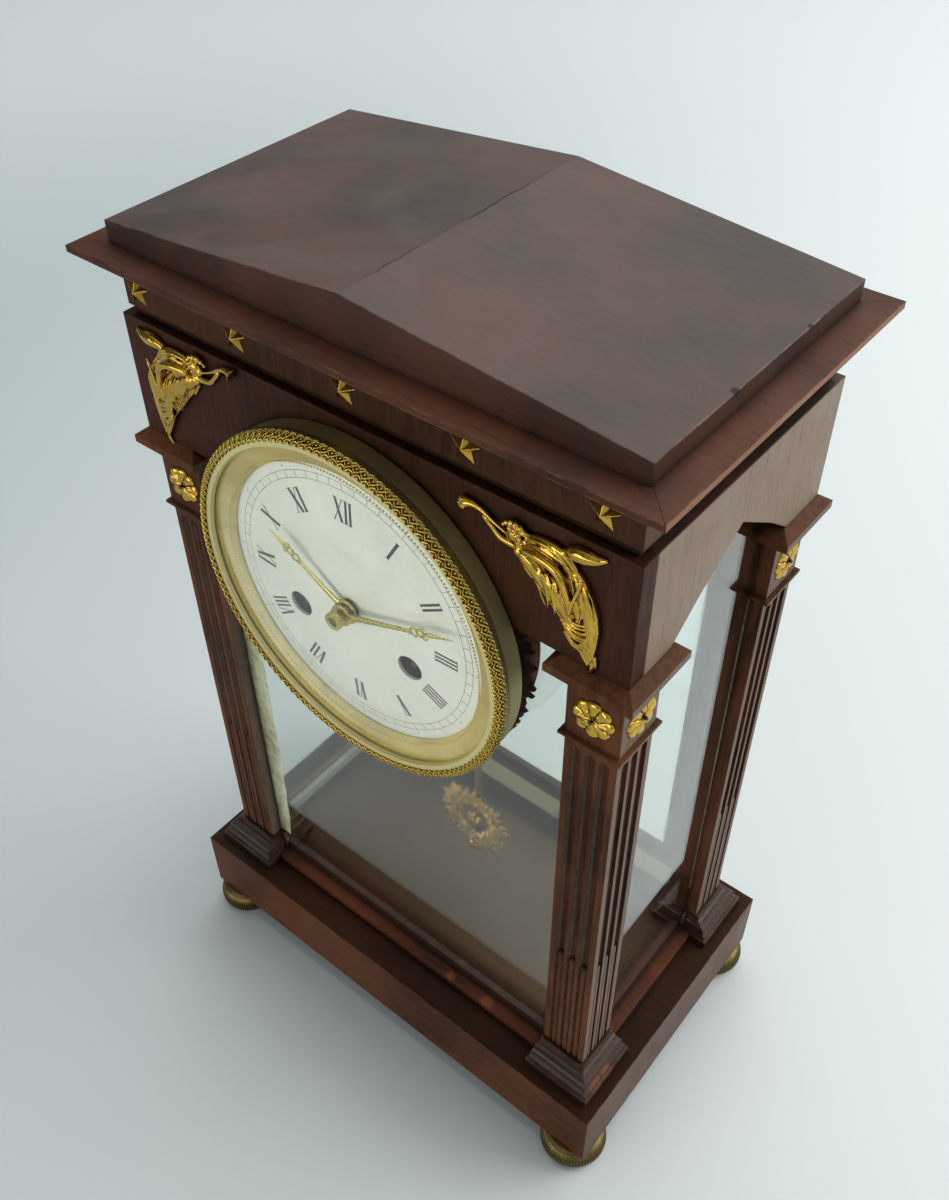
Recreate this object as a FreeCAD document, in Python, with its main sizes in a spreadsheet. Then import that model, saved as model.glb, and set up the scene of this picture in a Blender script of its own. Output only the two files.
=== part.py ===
import FreeCAD, Part
import Sketcher
import math
import os

# A mahogany four glass clock: a plinth on brass bun feet, four fluted corner posts with square
# capitals, a deep frieze under a gabled roof, glass on all four sides, and a round striking
# movement hung in a wooden drum in the front. Millimetres, origin on the floor under the middle
# of the case, the dial towards -Y.

doc = FreeCAD.newDocument("FourGlassClock")
sheet = doc.addObject("Spreadsheet::Sheet", "Sizes")
Vector = FreeCAD.Vector
X = Vector(1, 0, 0)
Y = Vector(0, 1, 0)
Z = Vector(0, 0, 1)
upright = FreeCAD.Rotation()
backward = FreeCAD.Rotation(X, -90)


class Size:
    """A length that knows both its value and the sheet expression that gives it."""

    def __init__(self, value, text, plain=True):
        self.value = value
        self.text = text
        self.plain = plain

    def inner(self):
        return self.text if self.plain else "(" + self.text + ")"

    def __add__(self, other):
        other = size(other)
        return Size(self.value + other.value, self.text + " + " + other.inner(), False)

    def __sub__(self, other):
        other = size(other)
        return Size(self.value - other.value, self.text + " - " + other.inner(), False)

    def __mul__(self, other):
        other = size(other)
        return Size(self.value * other.value, self.inner() + " * " + other.inner(), False)

    def __truediv__(self, other):
        other = size(other)
        return Size(self.value / other.value, self.inner() + " / " + other.inner(), False)

    def __neg__(self):
        return size(0) - self


def size(number):
    return number if isinstance(number, Size) else Size(float(number), repr(float(number)))


def cell(alias, number):
    """Writes one driving dimension into the sheet and hands it back."""
    cell.row += 1
    sheet.set("A%d" % cell.row, alias)
    sheet.set("B%d" % cell.row, str(number))
    sheet.setAlias("B%d" % cell.row, alias)
    return Size(float(number), "Sizes." + alias)


cell.row = 0

# Plinth and feet
footHeight = cell("footHeight", 13)
footRadius = cell("footRadius", 15.5)
footNeck = cell("footNeck", 12)
footSpanX = cell("footSpanX", 216)
footSpanY = cell("footSpanY", 124)
plinthWidth = cell("plinthWidth", 240)
plinthDepth = cell("plinthDepth", 144)
plinthHeight = cell("plinthHeight", 36.5)

# Corner posts: moulded base, fluted shaft, square capital
postSpanX = cell("postSpanX", 212.8)
postSpanY = cell("postSpanY", 115.6)
postWidth = cell("postWidth", 21.2)
postBoard = cell("postBoard", 6)
baseHeight = cell("baseHeight", 16)
baseProud = cell("baseProud", 8.4)
basePlinth = cell("basePlinth", 4)
baseStep = cell("baseStep", 1.2)
baseReturn = cell("baseReturn", 3.5)
shaftHeight = cell("shaftHeight", 205.6)
shaftInset = cell("shaftInset", 0.4)
fluteRadius = cell("fluteRadius", 1.9)
fluteSpacing = cell("fluteSpacing", 5.6)
fluteStop = cell("fluteStop", 4)
reedRadius = cell("reedRadius", 1.5)
reedHeight = cell("reedHeight", 73)
astragalHeight = cell("astragalHeight", 2.6)
astragalProud = cell("astragalProud", 1.7)
blockHeight = cell("blockHeight", 28.3)
abacusHeight = cell("abacusHeight", 3.1)
abacusSlope = cell("abacusSlope", 3.2)
abacusProud = cell("abacusProud", 5.9)
abacusCove = cell("abacusCove", 2.5)

# Frieze, cornice and roof
friezeProud = cell("friezeProud", 1.5)
friezeHeight = cell("friezeHeight", 48.5)
archHalf = cell("archHalf", 36.5)
archRise = cell("archRise", 26)
grooveHeight = cell("grooveHeight", 3.2)
grooveDepth = cell("grooveDepth", 3.6)
bandHeight = cell("bandHeight", 15)
bandInset = cell("bandInset", 1.9)
coveHeight = cell("coveHeight", 5.3)
corniceProud = cell("corniceProud", 9.7)
corniceEdge = cell("corniceEdge", 2.4)
corniceRise = cell("corniceRise", 0.9)
roofInset = cell("roofInset", 0.3)
roofEnd = cell("roofEnd", 7.4)
roofRise = cell("roofRise", 9.8)

# Glazing and rear door
glassThick = cell("glassThick", 2)
sillHeight = cell("sillHeight", 4)
sillDepth = cell("sillDepth", 5)
beadWidth = cell("beadWidth", 4.5)
doorClear = cell("doorClear", 0.3)
doorHem = cell("doorHem", 3)
doorThick = cell("doorThick", 6.4)
doorStile = cell("doorStile", 9)
doorInset = cell("doorInset", 2)
doorRebate = cell("doorRebate", 4)
hingeRadius = cell("hingeRadius", 1.8)
hingePin = cell("hingePin", 0.8)
hingeLeaf = cell("hingeLeaf", 1)
hingeLength = cell("hingeLength", 22)
hingeReach = cell("hingeReach", 60)
hingeGap = cell("hingeGap", 0.3)
runClear = cell("runClear", 0.05)
buttonLength = cell("buttonLength", 26)
buttonWidth = cell("buttonWidth", 7)
buttonThick = cell("buttonThick", 1.8)
buttonBoss = cell("buttonBoss", 3.2)

# Drum, dial and bezel
dialDrop = cell("dialDrop", 24.8)
drumProud = cell("drumProud", 2.8)
drumRadius = cell("drumRadius", 65)
drumBore = cell("drumBore", 57)
drumDepth = cell("drumDepth", 19)
sealWidth = cell("sealWidth", 4.4)
platePan = cell("platePan", 1)
plateRadius = cell("plateRadius", 66)
plateBore = cell("plateBore", 44)
dialRadius = cell("dialRadius", 58.5)
dialThick = cell("dialThick", 1.2)
dialCrown = cell("dialCrown", 1.9)
dialHole = cell("dialHole", 4)
windHole = cell("windHole", 5.2)
bezelRadius = cell("bezelRadius", 70)
bezelBore = cell("bezelBore", 67)
bezelDepth = cell("bezelDepth", 11.6)
bezelClear = cell("bezelClear", 0.5)
bezelFlange = cell("bezelFlange", 5.5)
bezelRim = cell("bezelRim", 1.6)
sightBore = cell("sightBore", 57)
sightDepth = cell("sightDepth", 2.8)
sightThick = cell("sightThick", 0.7)
domeRise = cell("domeRise", 9)
domeThick = cell("domeThick", 1.6)
bezelHingeOut = cell("bezelHingeOut", 2.2)
bezelKnuckle = cell("bezelKnuckle", 1.5)
bezelPin = cell("bezelPin", 0.7)
bezelHingeLength = cell("bezelHingeLength", 15)

# Ornament
starRadius = cell("starRadius", 6)
starRise = cell("starRise", 2.4)
starPitch = cell("starPitch", 48)
rosetteRadius = cell("rosetteRadius", 9)
rosetteRise = cell("rosetteRise", 2.2)
figureRise = cell("figureRise", 3.6)
figureWidth = cell("figureWidth", 50)
figureHeight = cell("figureHeight", 45)
figureInset = cell("figureInset", 46)
figureFootRise = cell("figureFootRise", 2.5)

# Movement
moveRadius = cell("moveRadius", 51)
moveThick = cell("moveThick", 2)
moveGap = cell("moveGap", 38)
dialGap = cell("dialGap", 9.1)
pillarRadius = cell("pillarRadius", 2.8)
arborRadius = cell("arborRadius", 1.2)
pivotRadius = cell("pivotRadius", 0.7)
endShake = cell("endShake", 0.3)
windX = cell("windX", 26)
windZ = cell("windZ", 13.5)
windReach = cell("windReach", 10.8)
barrelRadius = cell("barrelRadius", 18.5)
barrelModule = cell("barrelModule", 0.66)
secondModule = cell("secondModule", 0.6)
fastModule = cell("fastModule", 0.4)
motionModule = cell("motionModule", 0.5)
hourModule = cell("hourModule", 0.48)
motionAngle = cell("motionAngle", 60)
escapeRadius = cell("escapeRadius", 9.5)
escapeRise = cell("escapeRise", 27.2)
palletClear = cell("palletClear", 0.75)
flyRadius = cell("flyRadius", 5.5)
hammerX = cell("hammerX", 38)
hammerZ = cell("hammerZ", 18)
hammerHead = cell("hammerHead", 3)
hammerGap = cell("hammerGap", 1)
countRadius = cell("countRadius", 12)
countThick = cell("countThick", 1)
minutePipe = cell("minutePipe", 1.8)
hourPipe = cell("hourPipe", 3)
pipeReach = cell("pipeReach", 21)
hourLength = cell("hourLength", 39)
minuteLength = cell("minuteLength", 52)
handThick = cell("handThick", 0.8)
handWidth = cell("handWidth", 2)
minuteDrop = cell("minuteDrop", 2.2)
nutRadius = cell("nutRadius", 3.5)
nutLength = cell("nutLength", 1.8)
squareWidth = cell("squareWidth", 4)
strapWidth = cell("strapWidth", 9)
strapThick = cell("strapThick", 1.5)
bobFloor = cell("bobFloor", 42.5)
pivotRise = cell("pivotRise", 45)
pendulumBack = cell("pendulumBack", 15)
bobRadius = cell("bobRadius", 20.5)
bobThick = cell("bobThick", 3.6)
rodWidth = cell("rodWidth", 3.2)
rodThick = cell("rodThick", 1.4)
threadRadius = cell("threadRadius", 1.1)
bellRadius = cell("bellRadius", 36)
bellDepth = cell("bellDepth", 19)
bellWall = cell("bellWall", 1.4)
bellBack = cell("bellBack", 20)
bellDrop = cell("bellDrop", 2)

# Levels worked out from the sizes
zPlinth = footHeight
zCase = zPlinth + plinthHeight
zShaft = zCase + baseHeight
zCapital = zShaft + shaftHeight
zBlock = zCapital + astragalHeight
zAbacus = zBlock + blockHeight
zFrieze = zAbacus + abacusHeight + abacusSlope
zGroove = zFrieze + friezeHeight
zBand = zGroove + grooveHeight
zCove = zBand + bandHeight
zEdge = zCove + coveHeight
zTop = zEdge + corniceEdge
zRoof = zTop + corniceRise
zDial = zFrieze - dialDrop
innerX = postSpanX / 2 - postBoard
innerY = postSpanY / 2 - postBoard
friezeX = postSpanX / 2 + friezeProud
friezeY = postSpanY / 2 + friezeProud
drumFront = -friezeY - drumProud
plateFront = drumFront - platePan
dialFront = plateFront - dialThick
moveFront = -drumFront - dialGap
pendulumLength = zDial + pivotRise - zCase - bobFloor


def bind(thing, name, length):
    thing.setExpression(name, size(length).text)


def place(thing, base, turn=upright):
    """Puts a piece at a bound place; the turn stays as it is."""
    thing.Placement = FreeCAD.Placement(Vector(*[size(b).value for b in base]), turn)
    for axis, length in zip("xyz", base):
        bind(thing, "Placement.Base." + axis, length)
    return thing


def block(name, low, high):
    """A box between two corners."""
    made = doc.addObject("Part::Box", name)
    for prop, a, b in zip(("Length", "Width", "Height"), low, high):
        bind(made, prop, size(b) - a)
    return place(made, low)


def rod(name, radius, base, length, turn=upright):
    made = doc.addObject("Part::Cylinder", name)
    bind(made, "Radius", radius)
    bind(made, "Height", length)
    return place(made, base, turn)


def ball(name, radius, base):
    made = doc.addObject("Part::Sphere", name)
    bind(made, "Radius", radius)
    return place(made, base)


def fuse(name, pieces):
    made = doc.addObject("Part::MultiFuse", name)
    made.Shapes = pieces
    made.Refine = True
    return made


def group(name, pieces):
    made = doc.addObject("Part::Compound", name)
    made.Links = pieces
    return made


def cut(name, base, tool):
    made = doc.addObject("Part::Cut", name)
    made.Base = base
    made.Tool = tool
    return made


def common(name, pieces):
    made = doc.addObject("Part::MultiCommon", name)
    made.Shapes = pieces
    return made


def mirror(name, source, normal):
    made = doc.addObject("Part::Mirroring", name)
    made.Source = source
    made.Normal = normal
    return made


def corners(name, source):
    """The piece and its three images in the other corners of the case."""
    side = mirror(name + "Side", source, X)
    pair = group(name + "Pair", [source, side])
    rear = mirror(name + "Rear", pair, Y)
    return group(name, [pair, rear])


def origin(owner, role):
    return [f for f in owner.Origin.OriginFeatures if f.Role == role][0]


def body(name):
    return doc.addObject("PartDesign::Body", name)


def sketch(owner, name, role, offset=None):
    made = owner.newObject("Sketcher::SketchObject", name)
    made.AttachmentSupport = (origin(owner, role), [""])
    made.MapMode = "FlatFace"
    if offset is not None:
        bind(made, "AttachmentOffset.Base.z", offset)
    return made


def pin(made, geo, end, point):
    """Dimensions one point of a sketch from its origin."""
    for kind, length in zip(("DistanceX", "DistanceY"), point):
        length = size(length)
        index = made.addConstraint(Sketcher.Constraint(kind, -1, 1, geo, end, length.value))
        bind(made, "Constraints[%d]" % index, length)


def outline(made, points):
    """A closed outline of straight lines, each corner dimensioned from the origin."""
    flat = [Vector(size(p[0]).value, size(p[1]).value, 0) for p in points]
    count = len(points)
    for i in range(count):
        made.addGeometry(Part.LineSegment(flat[i], flat[(i + 1) % count]), False)
    for i in range(count):
        made.addConstraint(Sketcher.Constraint("Coincident", i, 2, (i + 1) % count, 1))
        pin(made, i, 1, points[i])
    return made


def dome(radius, edge, rise, shares):
    """Points across a dome, from its edge to its middle."""
    return [(radius * out, edge - rise * up) for out, up in shares]


def circle(made, point, radius):
    flat = Vector(size(point[0]).value, size(point[1]).value, 0)
    geo = made.addGeometry(Part.Circle(flat, Z, radius.value), False)
    index = made.addConstraint(Sketcher.Constraint("Radius", geo, radius.value))
    bind(made, "Constraints[%d]" % index, radius)
    pin(made, geo, 3, point)


def pad(owner, name, drawn, length, both=False, back=False):
    made = owner.newObject("PartDesign::Pad", name)
    made.Profile = drawn
    bind(made, "Length", length)
    made.Midplane = both
    made.Reversed = back
    return made


def pocket(owner, name, drawn, length, both=True):
    made = owner.newObject("PartDesign::Pocket", name)
    made.Profile = drawn
    bind(made, "Length", length)
    made.Midplane = both
    return made


def prism(name, role, points, length, offset=None, both=False, back=False):
    """A drawn outline padded square to its plane."""
    owner = body(name)
    drawn = outline(sketch(owner, name + "Outline", role, offset), points)
    pad(owner, name + "Pad", drawn, length, both, back)
    return owner


def turned(name, points, where, axis="Y_Axis"):
    """A turned piece: radius across, along the axis, set at its centre."""
    owner = body(name)
    drawn = outline(sketch(owner, name + "Profile", "XY_Plane" if axis == "Y_Axis" else "XZ_Plane"),
                    points)
    made = owner.newObject("PartDesign::Revolution", name + "Turn")
    made.Profile = drawn
    made.ReferenceAxis = (origin(owner, axis), [""])
    made.Angle = 360
    return place(owner, where)


def tube(name, outer, inner, front, back, where=(0, 0, zDial)):
    """A ring round the line of the arbors."""
    return turned(name, [(inner, front), (outer, front), (outer, back), (inner, back)], where)


def shaped(name, shape):
    """A piece whose form is worked out point by point."""
    made = doc.addObject("Part::Feature", name)
    made.Shape = shape
    return made


pieces = {}


def keep(node, thing):
    thing.Label = node
    pieces[node] = thing
    return thing


# Bun feet
footShape = turned("FootTurned", [(0, 0), (footRadius * 0.82, 0), (footRadius, footHeight * 0.22),
                                  (footRadius, footHeight * 0.7), (footNeck, footHeight),
                                  (0, footHeight)],
                   (footSpanX / 2, -footSpanY / 2, 0), "Z_Axis")
keep("feet", corners("Feet", footShape))

# Plinth
plinthBody = prism("Plinth", "XY_Plane",
                   [(-plinthWidth / 2, -plinthDepth / 2), (plinthWidth / 2, -plinthDepth / 2),
                    (plinthWidth / 2, plinthDepth / 2), (-plinthWidth / 2, plinthDepth / 2)],
                   plinthHeight, zPlinth)
keep("plinth", plinthBody)


def moulded(name, rises, spanX, spanY, lowZ, ease=None):
    """A block whose sides follow one moulding on all four faces, met on the mitre.

    Each rise is (outward, inward, height) from the faces of the post.
    """
    made = []
    for role, span in (("XZ_Plane", spanX), ("YZ_Plane", spanY)):
        outer = span / 2
        inner = outer - postWidth
        right = [(outer + r[0], lowZ + r[2]) + tuple(r[3:]) for r in rises]
        left = [(inner - r[1], lowZ + r[2]) for r in reversed(rises)]
        tag = name + role[:2]
        made.append(prism(tag, role, right + left, span * 2, None, True))
    return made


# The corner blocks carry one moulding round each face: plinth, cove, torus, fillet
baseRises = [(baseProud, baseReturn, 0),
             (baseProud, baseReturn, basePlinth),
             (baseProud - baseStep, baseReturn - baseStep, basePlinth),
             (baseProud - baseStep, baseReturn - baseStep, baseHeight * 0.34),
             (baseProud * 0.74, baseReturn * 0.58, baseHeight * 0.4),
             (baseProud * 0.68, baseReturn * 0.52, baseHeight * 0.47),
             (baseProud * 0.71, baseReturn * 0.54, baseHeight * 0.53),
             (baseProud * 0.68, baseReturn * 0.51, baseHeight * 0.6),
             (baseProud * 0.58, baseReturn * 0.44, baseHeight * 0.66),
             (baseProud * 0.4, baseReturn * 0.3, baseHeight * 0.68),
             (baseProud * 0.34, baseReturn * 0.25, baseHeight * 0.77),
             (baseProud * 0.16, baseReturn * 0.12, baseHeight * 0.82),
             (baseProud * 0.16, baseReturn * 0.12, baseHeight)]
across, along = moulded("Base", baseRises, postSpanX, postSpanY, zCase)
frontOnly = mirror("BaseAlong", along, Y)
keep("pilaster_bases", corners("PilasterBases", common("BaseBlock", [across, frontOnly])))

capitalRises = [(astragalProud * 0.5, astragalProud * 0.5, 0),
                (astragalProud, astragalProud, astragalHeight * 0.3),
                (astragalProud, astragalProud, astragalHeight * 0.75),
                (0, 0, astragalHeight),
                (0, 0, astragalHeight + blockHeight - abacusCove),
                (abacusProud * 0.35, abacusProud * 0.35, astragalHeight + blockHeight - abacusCove * 0.8),
                (abacusProud * 0.6, abacusProud * 0.6, astragalHeight + blockHeight - abacusCove * 0.3),
                (abacusProud * 0.75, abacusProud * 0.75, astragalHeight + blockHeight),
                (abacusProud, abacusProud, astragalHeight + blockHeight),
                (abacusProud, abacusProud, astragalHeight + blockHeight + abacusHeight),
                (friezeProud, friezeProud, astragalHeight + blockHeight + abacusHeight + abacusSlope)]
across, along = moulded("Capital", capitalRises, postSpanX, postSpanY, zCapital)
frontOnly = mirror("CapitalAlong", along, Y)
keep("capitals", corners("Capitals", common("CapitalBlock", [across, frontOnly])))

# Fluted shafts: two boards that meet at the corner, three flutes to a face, reeds in the lower third
outX = postSpanX / 2 - shaftInset
outY = -postSpanY / 2 + shaftInset
legX = postSpanX / 2 - postWidth
legY = -postSpanY / 2 + postWidth
frontLeg = block("FrontLeg", (legX, outY, zShaft), (outX, -innerY, zCapital))
sideLeg = block("SideLeg", (innerX, outY, zShaft), (outX, legY, zCapital))
angle = fuse("ShaftAngle", [frontLeg, sideLeg])
flutes = []
reeds = []
fluteTop = zCapital - fluteStop - fluteRadius
reedTop = zShaft + reedHeight
middleX = (legX + outX) / 2
middleY = (legY + outY) / 2
for i in (-1, 0, 1):
    shift = fluteSpacing * i
    for tag, atX, atY, inX, inY in (("F", middleX + shift, outY, middleX + shift, outY + fluteRadius * 0.85),
                                    ("S", outX, middleY + shift, outX - fluteRadius * 0.85, middleY + shift)):
        run = fluteTop - zShaft
        flutes.append(rod("Flute%s%d" % (tag, i + 1), fluteRadius, (atX, atY, zShaft), run))
        flutes.append(ball("FluteEnd%s%d" % (tag, i + 1), fluteRadius, (atX, atY, fluteTop)))
        reeds.append(rod("Reed%s%d" % (tag, i + 1), reedRadius, (inX, inY, zShaft), reedHeight))
        reeds.append(ball("ReedEnd%s%d" % (tag, i + 1), reedRadius, (inX, inY, reedTop)))
fluted = cut("ShaftFluted", angle, group("Flutes", flutes))
shaft = fuse("Shaft", [fluted] + reeds)
keep("pilaster_front_right", shaft)
keep("pilaster_front_left", mirror("PilasterFrontLeft", shaft, X))
keep("pilaster_rear_right", mirror("PilasterRearRight", shaft, Y))
keep("pilaster_rear_left", mirror("PilasterRearLeft", pieces["pilaster_front_left"], Y))

# Frieze: front board hollowed for the drum, side boards with a pointed arch, plain back
frontFrieze = block("FrontBoard", (-friezeX, -friezeY, zFrieze), (friezeX, -innerY, zGroove))
drumSpace = rod("DrumSpace", drumRadius, (0, -friezeY * 2, zDial), friezeY * 2, backward)
keep("frieze_front", cut("FriezeFront", frontFrieze, drumSpace))
keep("frieze_rear", block("FriezeRear", (-friezeX, innerY, zFrieze), (friezeX, friezeY, zGroove)))
sideFrieze = prism("FriezeSide", "YZ_Plane",
                   [(-innerY, zFrieze), (-archHalf, zFrieze), (-archHalf * 0.62, zFrieze + archRise * 0.42),
                    (0, zFrieze + archRise), (archHalf * 0.62, zFrieze + archRise * 0.42),
                    (archHalf, zFrieze), (innerY, zFrieze), (innerY, zGroove), (-innerY, zGroove)],
                   friezeX - innerX, innerX)
keep("frieze_right", sideFrieze)
keep("frieze_left", mirror("FriezeLeft", sideFrieze, X))


def capped(name, rises):
    """A slab whose edge carries one moulding on all four sides, met on the mitre."""
    made = []
    for role, half, span in (("XZ_Plane", friezeX, plinthDepth), ("YZ_Plane", friezeY, plinthWidth)):
        right = [(half + r[0], r[1]) + tuple(r[2:]) for r in rises]
        left = [(-half - r[0], r[1]) for r in reversed(rises)]
        made.append(prism(name + role[:2], role, right + left, span, None, True))
    return common(name, made)


keep("star_band", capped("StarBand", [(-grooveDepth, zGroove), (-grooveDepth, zBand),
                                      (-bandInset, zBand), (-bandInset, zCove)]))
keep("cornice", capped("Cornice", [(-bandInset, zCove), (-bandInset + corniceProud * 0.1, zCove),
                                   (corniceProud * 0.15, zCove + coveHeight * 0.45),
                                   (corniceProud * 0.55, zCove + coveHeight * 0.85),
                                   (corniceProud - corniceEdge * 0.4, zEdge),
                                   (corniceProud, zEdge), (corniceProud, zTop),
                                   (-roofInset, zRoof)]))
roofX = friezeX - roofInset * 3
keep("roof_block", prism("RoofBlock", "XZ_Plane",
                         [(-roofX, zRoof), (roofX, zRoof), (roofX, zRoof + roofEnd),
                          (0, zRoof + roofEnd + roofRise), (-roofX, zRoof + roofEnd)],
                         (friezeY - roofInset) * 2, None, True))

# Sills between the corner blocks, with the rear one as high as the blocks
sillX = postSpanX / 2 - postWidth - baseReturn
sillY = postSpanY / 2 - postWidth - baseReturn
sillTop = zCase + sillHeight
frontSill = block("FrontSill", (-sillX, -postSpanY / 2, zCase), (sillX, -innerY + sillDepth, sillTop))
sideSill = block("SideSill", (innerX - sillDepth, -sillY, zCase), (postSpanX / 2, sillY, sillTop))
rearSill = block("RearSill", (-sillX, innerY, zCase), (sillX, postSpanY / 2, zShaft))
keep("sills", group("Sills", [frontSill, sideSill, mirror("SillLeft", sideSill, X), rearSill]))

# Glass: each pane is notched round the corner blocks and the capitals
paneGap = doorClear
neckX = sillX - paneGap
neckY = sillY - paneGap
upperX = legX - abacusProud - paneGap
upperY = -legY - abacusProud - paneGap
wideX = innerX - glassThick - paneGap
wideY = innerY - paneGap
lowZ = zShaft + paneGap
highZ = zCapital - paneGap
frontTop = zFrieze - paneGap
frontPane = prism("FrontPane", "XZ_Plane",
                  [(-neckX, sillTop), (neckX, sillTop), (neckX, lowZ), (wideX, lowZ),
                   (wideX, highZ), (upperX, highZ), (upperX, frontTop), (-upperX, frontTop),
                   (-upperX, highZ), (-wideX, highZ), (-wideX, lowZ), (-neckX, lowZ)],
                  glassThick, innerY - glassThick)
drumClear = drumRadius + paneGap
frontHole = rod("FrontHole", drumClear, (0, -friezeY, zDial), friezeY, backward)
keep("front_glass", cut("FrontGlass", frontPane, frontHole))
sideTop = zFrieze + archRise + coveHeight
sidePane = prism("SidePane", "YZ_Plane",
                 [(-neckY, sillTop), (neckY, sillTop), (neckY, lowZ), (wideY, lowZ),
                  (wideY, highZ), (upperY, highZ), (upperY, sideTop), (-upperY, sideTop),
                  (-upperY, highZ), (-wideY, highZ), (-wideY, lowZ), (-neckY, lowZ)],
                 glassThick, innerX - glassThick)
keep("right_glass", sidePane)
keep("left_glass", mirror("LeftGlass", sidePane, X))

# Glazing beads: upright in the corners, and along the sills
beadX = innerX - glassThick
beadY = innerY - glassThick
cornerBead = block("CornerBead", (beadX - beadWidth, -beadY, zShaft),
                   (beadX, -beadY + beadWidth, highZ))
rearBead = block("RearBead", (beadX - beadWidth, innerY - beadWidth, zShaft), (beadX, innerY, highZ))
beadTop = sillTop + beadWidth
sillBead = block("SillBead", (-neckX, -beadY, sillTop), (neckX, -innerY + sillDepth, beadTop))
sideBead = block("SideBead", (innerX - sillDepth, -neckY, sillTop), (beadX, neckY, beadTop))
beads = [cornerBead, rearBead, sideBead]
beads += [mirror(b.Name + "Left", b, X) for b in list(beads)]
keep("glazing_beads", group("GlazingBeads", beads + [sillBead]))


def slab(name, radius, front, back, x=0, z=0):
    """A disc from one depth to another on an arbor line."""
    return rod(name, radius, (x, front, zDial + z), size(back) - front, backward)


# Drum, its putty, and the plate that carries the dial
drumBack = drumFront + drumDepth
keep("drum_ring", tube("DrumRing", drumRadius, drumBore, drumFront, drumBack))
sealRing = tube("SealRing", drumRadius + sealWidth, drumRadius, -innerY - glassThick, -innerY)
sealCap = block("SealCap", (-plinthWidth / 2, -plinthDepth / 2, zFrieze - paneGap),
                (plinthWidth / 2, plinthDepth / 2, zGroove))
keep("drum_seal", cut("DrumSeal", sealRing, sealCap))

# Levels of the movement, along Y
plateIn = -moveFront + moveThick
backFace = plateIn + moveGap
rearFace = backFace + moveThick

# Hinge line of the bezel, on the left of the dial
hingeX = -bezelRadius - bezelHingeOut
hingeY = plateFront + platePan / 2
knuckleLong = bezelHingeLength / 3
plateRing = tube("PlateRing", plateRadius, plateBore, plateFront, drumFront)
plateParts = [plateRing]
halfHinge = bezelHingeLength / 2
midHinge = knuckleLong / 2
for tag, low, high in (("Low", -halfHinge, -midHinge), ("High", midHinge, halfHinge)):
    plateParts.append(block("PlateTab" + tag, (hingeX, plateFront, zDial + low),
                            (-plateRadius + bezelHingeOut, drumFront, zDial + high)))
    plateParts.append(rod("PlateKnuckle" + tag, bezelKnuckle, (hingeX, hingeY, zDial + low),
                          high - low))
plateParts.append(rod("PlatePin", bezelPin, (hingeX, hingeY, zDial - halfHinge), bezelHingeLength))
footTurn = plateBore + pillarRadius
dialFootShares = (("RU", 0.62, 0.784), ("LU", -0.62, 0.784), ("RD", 0.5, -0.866), ("LD", -0.5, -0.866))
for tag, sx, sz in dialFootShares:
    plateParts.append(slab("DialFoot" + tag, pillarRadius * 0.8, drumFront, -moveFront,
                           footTurn * sx, footTurn * sz))
keep("dial_plate", fuse("DialPlate", plateParts))

# Enamel dial, domed, with a hole for the hands and two for the key
domeShares = ((1, 0), (0.92, 0.154), (0.8, 0.36), (0.66, 0.564), (0.5, 0.75), (0.33, 0.891),
              (0.17, 0.971), (0, 1))
enamelFace = dome(dialRadius, dialFront, dialCrown, domeShares[:-1])
enamelFace.append((dialHole, dialFront - dialCrown))
enamelBack = [(r, y + dialThick) for r, y in reversed(enamelFace)]
enamel = turned("Enamel", enamelFace + enamelBack, (0, 0, zDial))
keyHoles = sketch(enamel, "KeyHoles", "XZ_Plane")
circle(keyHoles, (windX, -windZ), windHole)
circle(keyHoles, (-windX, -windZ), windHole)
pocket(enamel, "KeyPocket", keyHoles, bezelRadius * 4)
keep("enamel_dial", enamel)

# Straps that clamp the dial plate to the drum
strapIn = drumBore - strapThick
arm = block("StrapArm", (strapIn, drumFront, zDial - strapWidth / 2),
            (drumBore - strapThick * 0.15, drumBack + strapThick, zDial + strapWidth / 2))
toe = block("StrapToe", (strapIn, drumBack, zDial - strapWidth / 2),
            (drumRadius - strapThick, drumBack + strapThick, zDial + strapWidth / 2))
strap = fuse("Strap", [arm, toe])
keep("mounting_straps", group("MountingStraps", [strap, mirror("StrapLeft", strap, X)]))

# Bezel: a wall round the drum, a front flange, and the middle knuckle of its hinge
wallBack = -friezeY - bezelClear
wallFront = wallBack - bezelDepth
flangeBack = wallFront + bezelRim
bezelRing = turned("BezelRing", [(bezelBore, wallBack), (bezelRadius - bezelRim * 0.5, wallBack),
                                 (bezelRadius - bezelRim * 0.5, wallBack - bezelDepth * 0.55),
                                 (bezelRadius, wallBack - bezelDepth * 0.62),
                                 (bezelRadius, flangeBack), (bezelRadius - bezelRim * 0.6, wallFront),
                                 (bezelRadius - bezelFlange + bezelRim * 0.3, wallFront),
                                 (bezelRadius - bezelFlange, flangeBack), (bezelBore, flangeBack)],
                   (0, 0, zDial))
slots = []
for tag, low, high in (("Low", -halfHinge, -midHinge), ("High", midHinge, halfHinge)):
    slots.append(block("BezelSlot" + tag, (-bezelRadius * 1.1, plateFront - bezelClear * 2,
                                           zDial + low - hingeGap),
                       (-bezelBore * 0.95, wallBack + bezelClear, zDial + high + hingeGap)))
ringCut = cut("BezelRingCut", bezelRing, group("BezelSlots", slots))
bezelTab = block("BezelTab", (hingeX, plateFront, zDial - midHinge + hingeGap),
                 (-bezelBore - bezelRim * 0.5, drumFront, zDial + midHinge - hingeGap))
bezelBarrel = rod("BezelBarrel", bezelKnuckle, (hingeX, hingeY, zDial - midHinge + hingeGap),
                  knuckleLong - hingeGap * 2)
bezelWhole = fuse("BezelWhole", [ringCut, bezelTab, bezelBarrel])
bezelPinHole = rod("BezelPinHole", bezelPin + runClear, (hingeX, hingeY, zDial - knuckleLong),
                   knuckleLong * 2)
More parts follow.
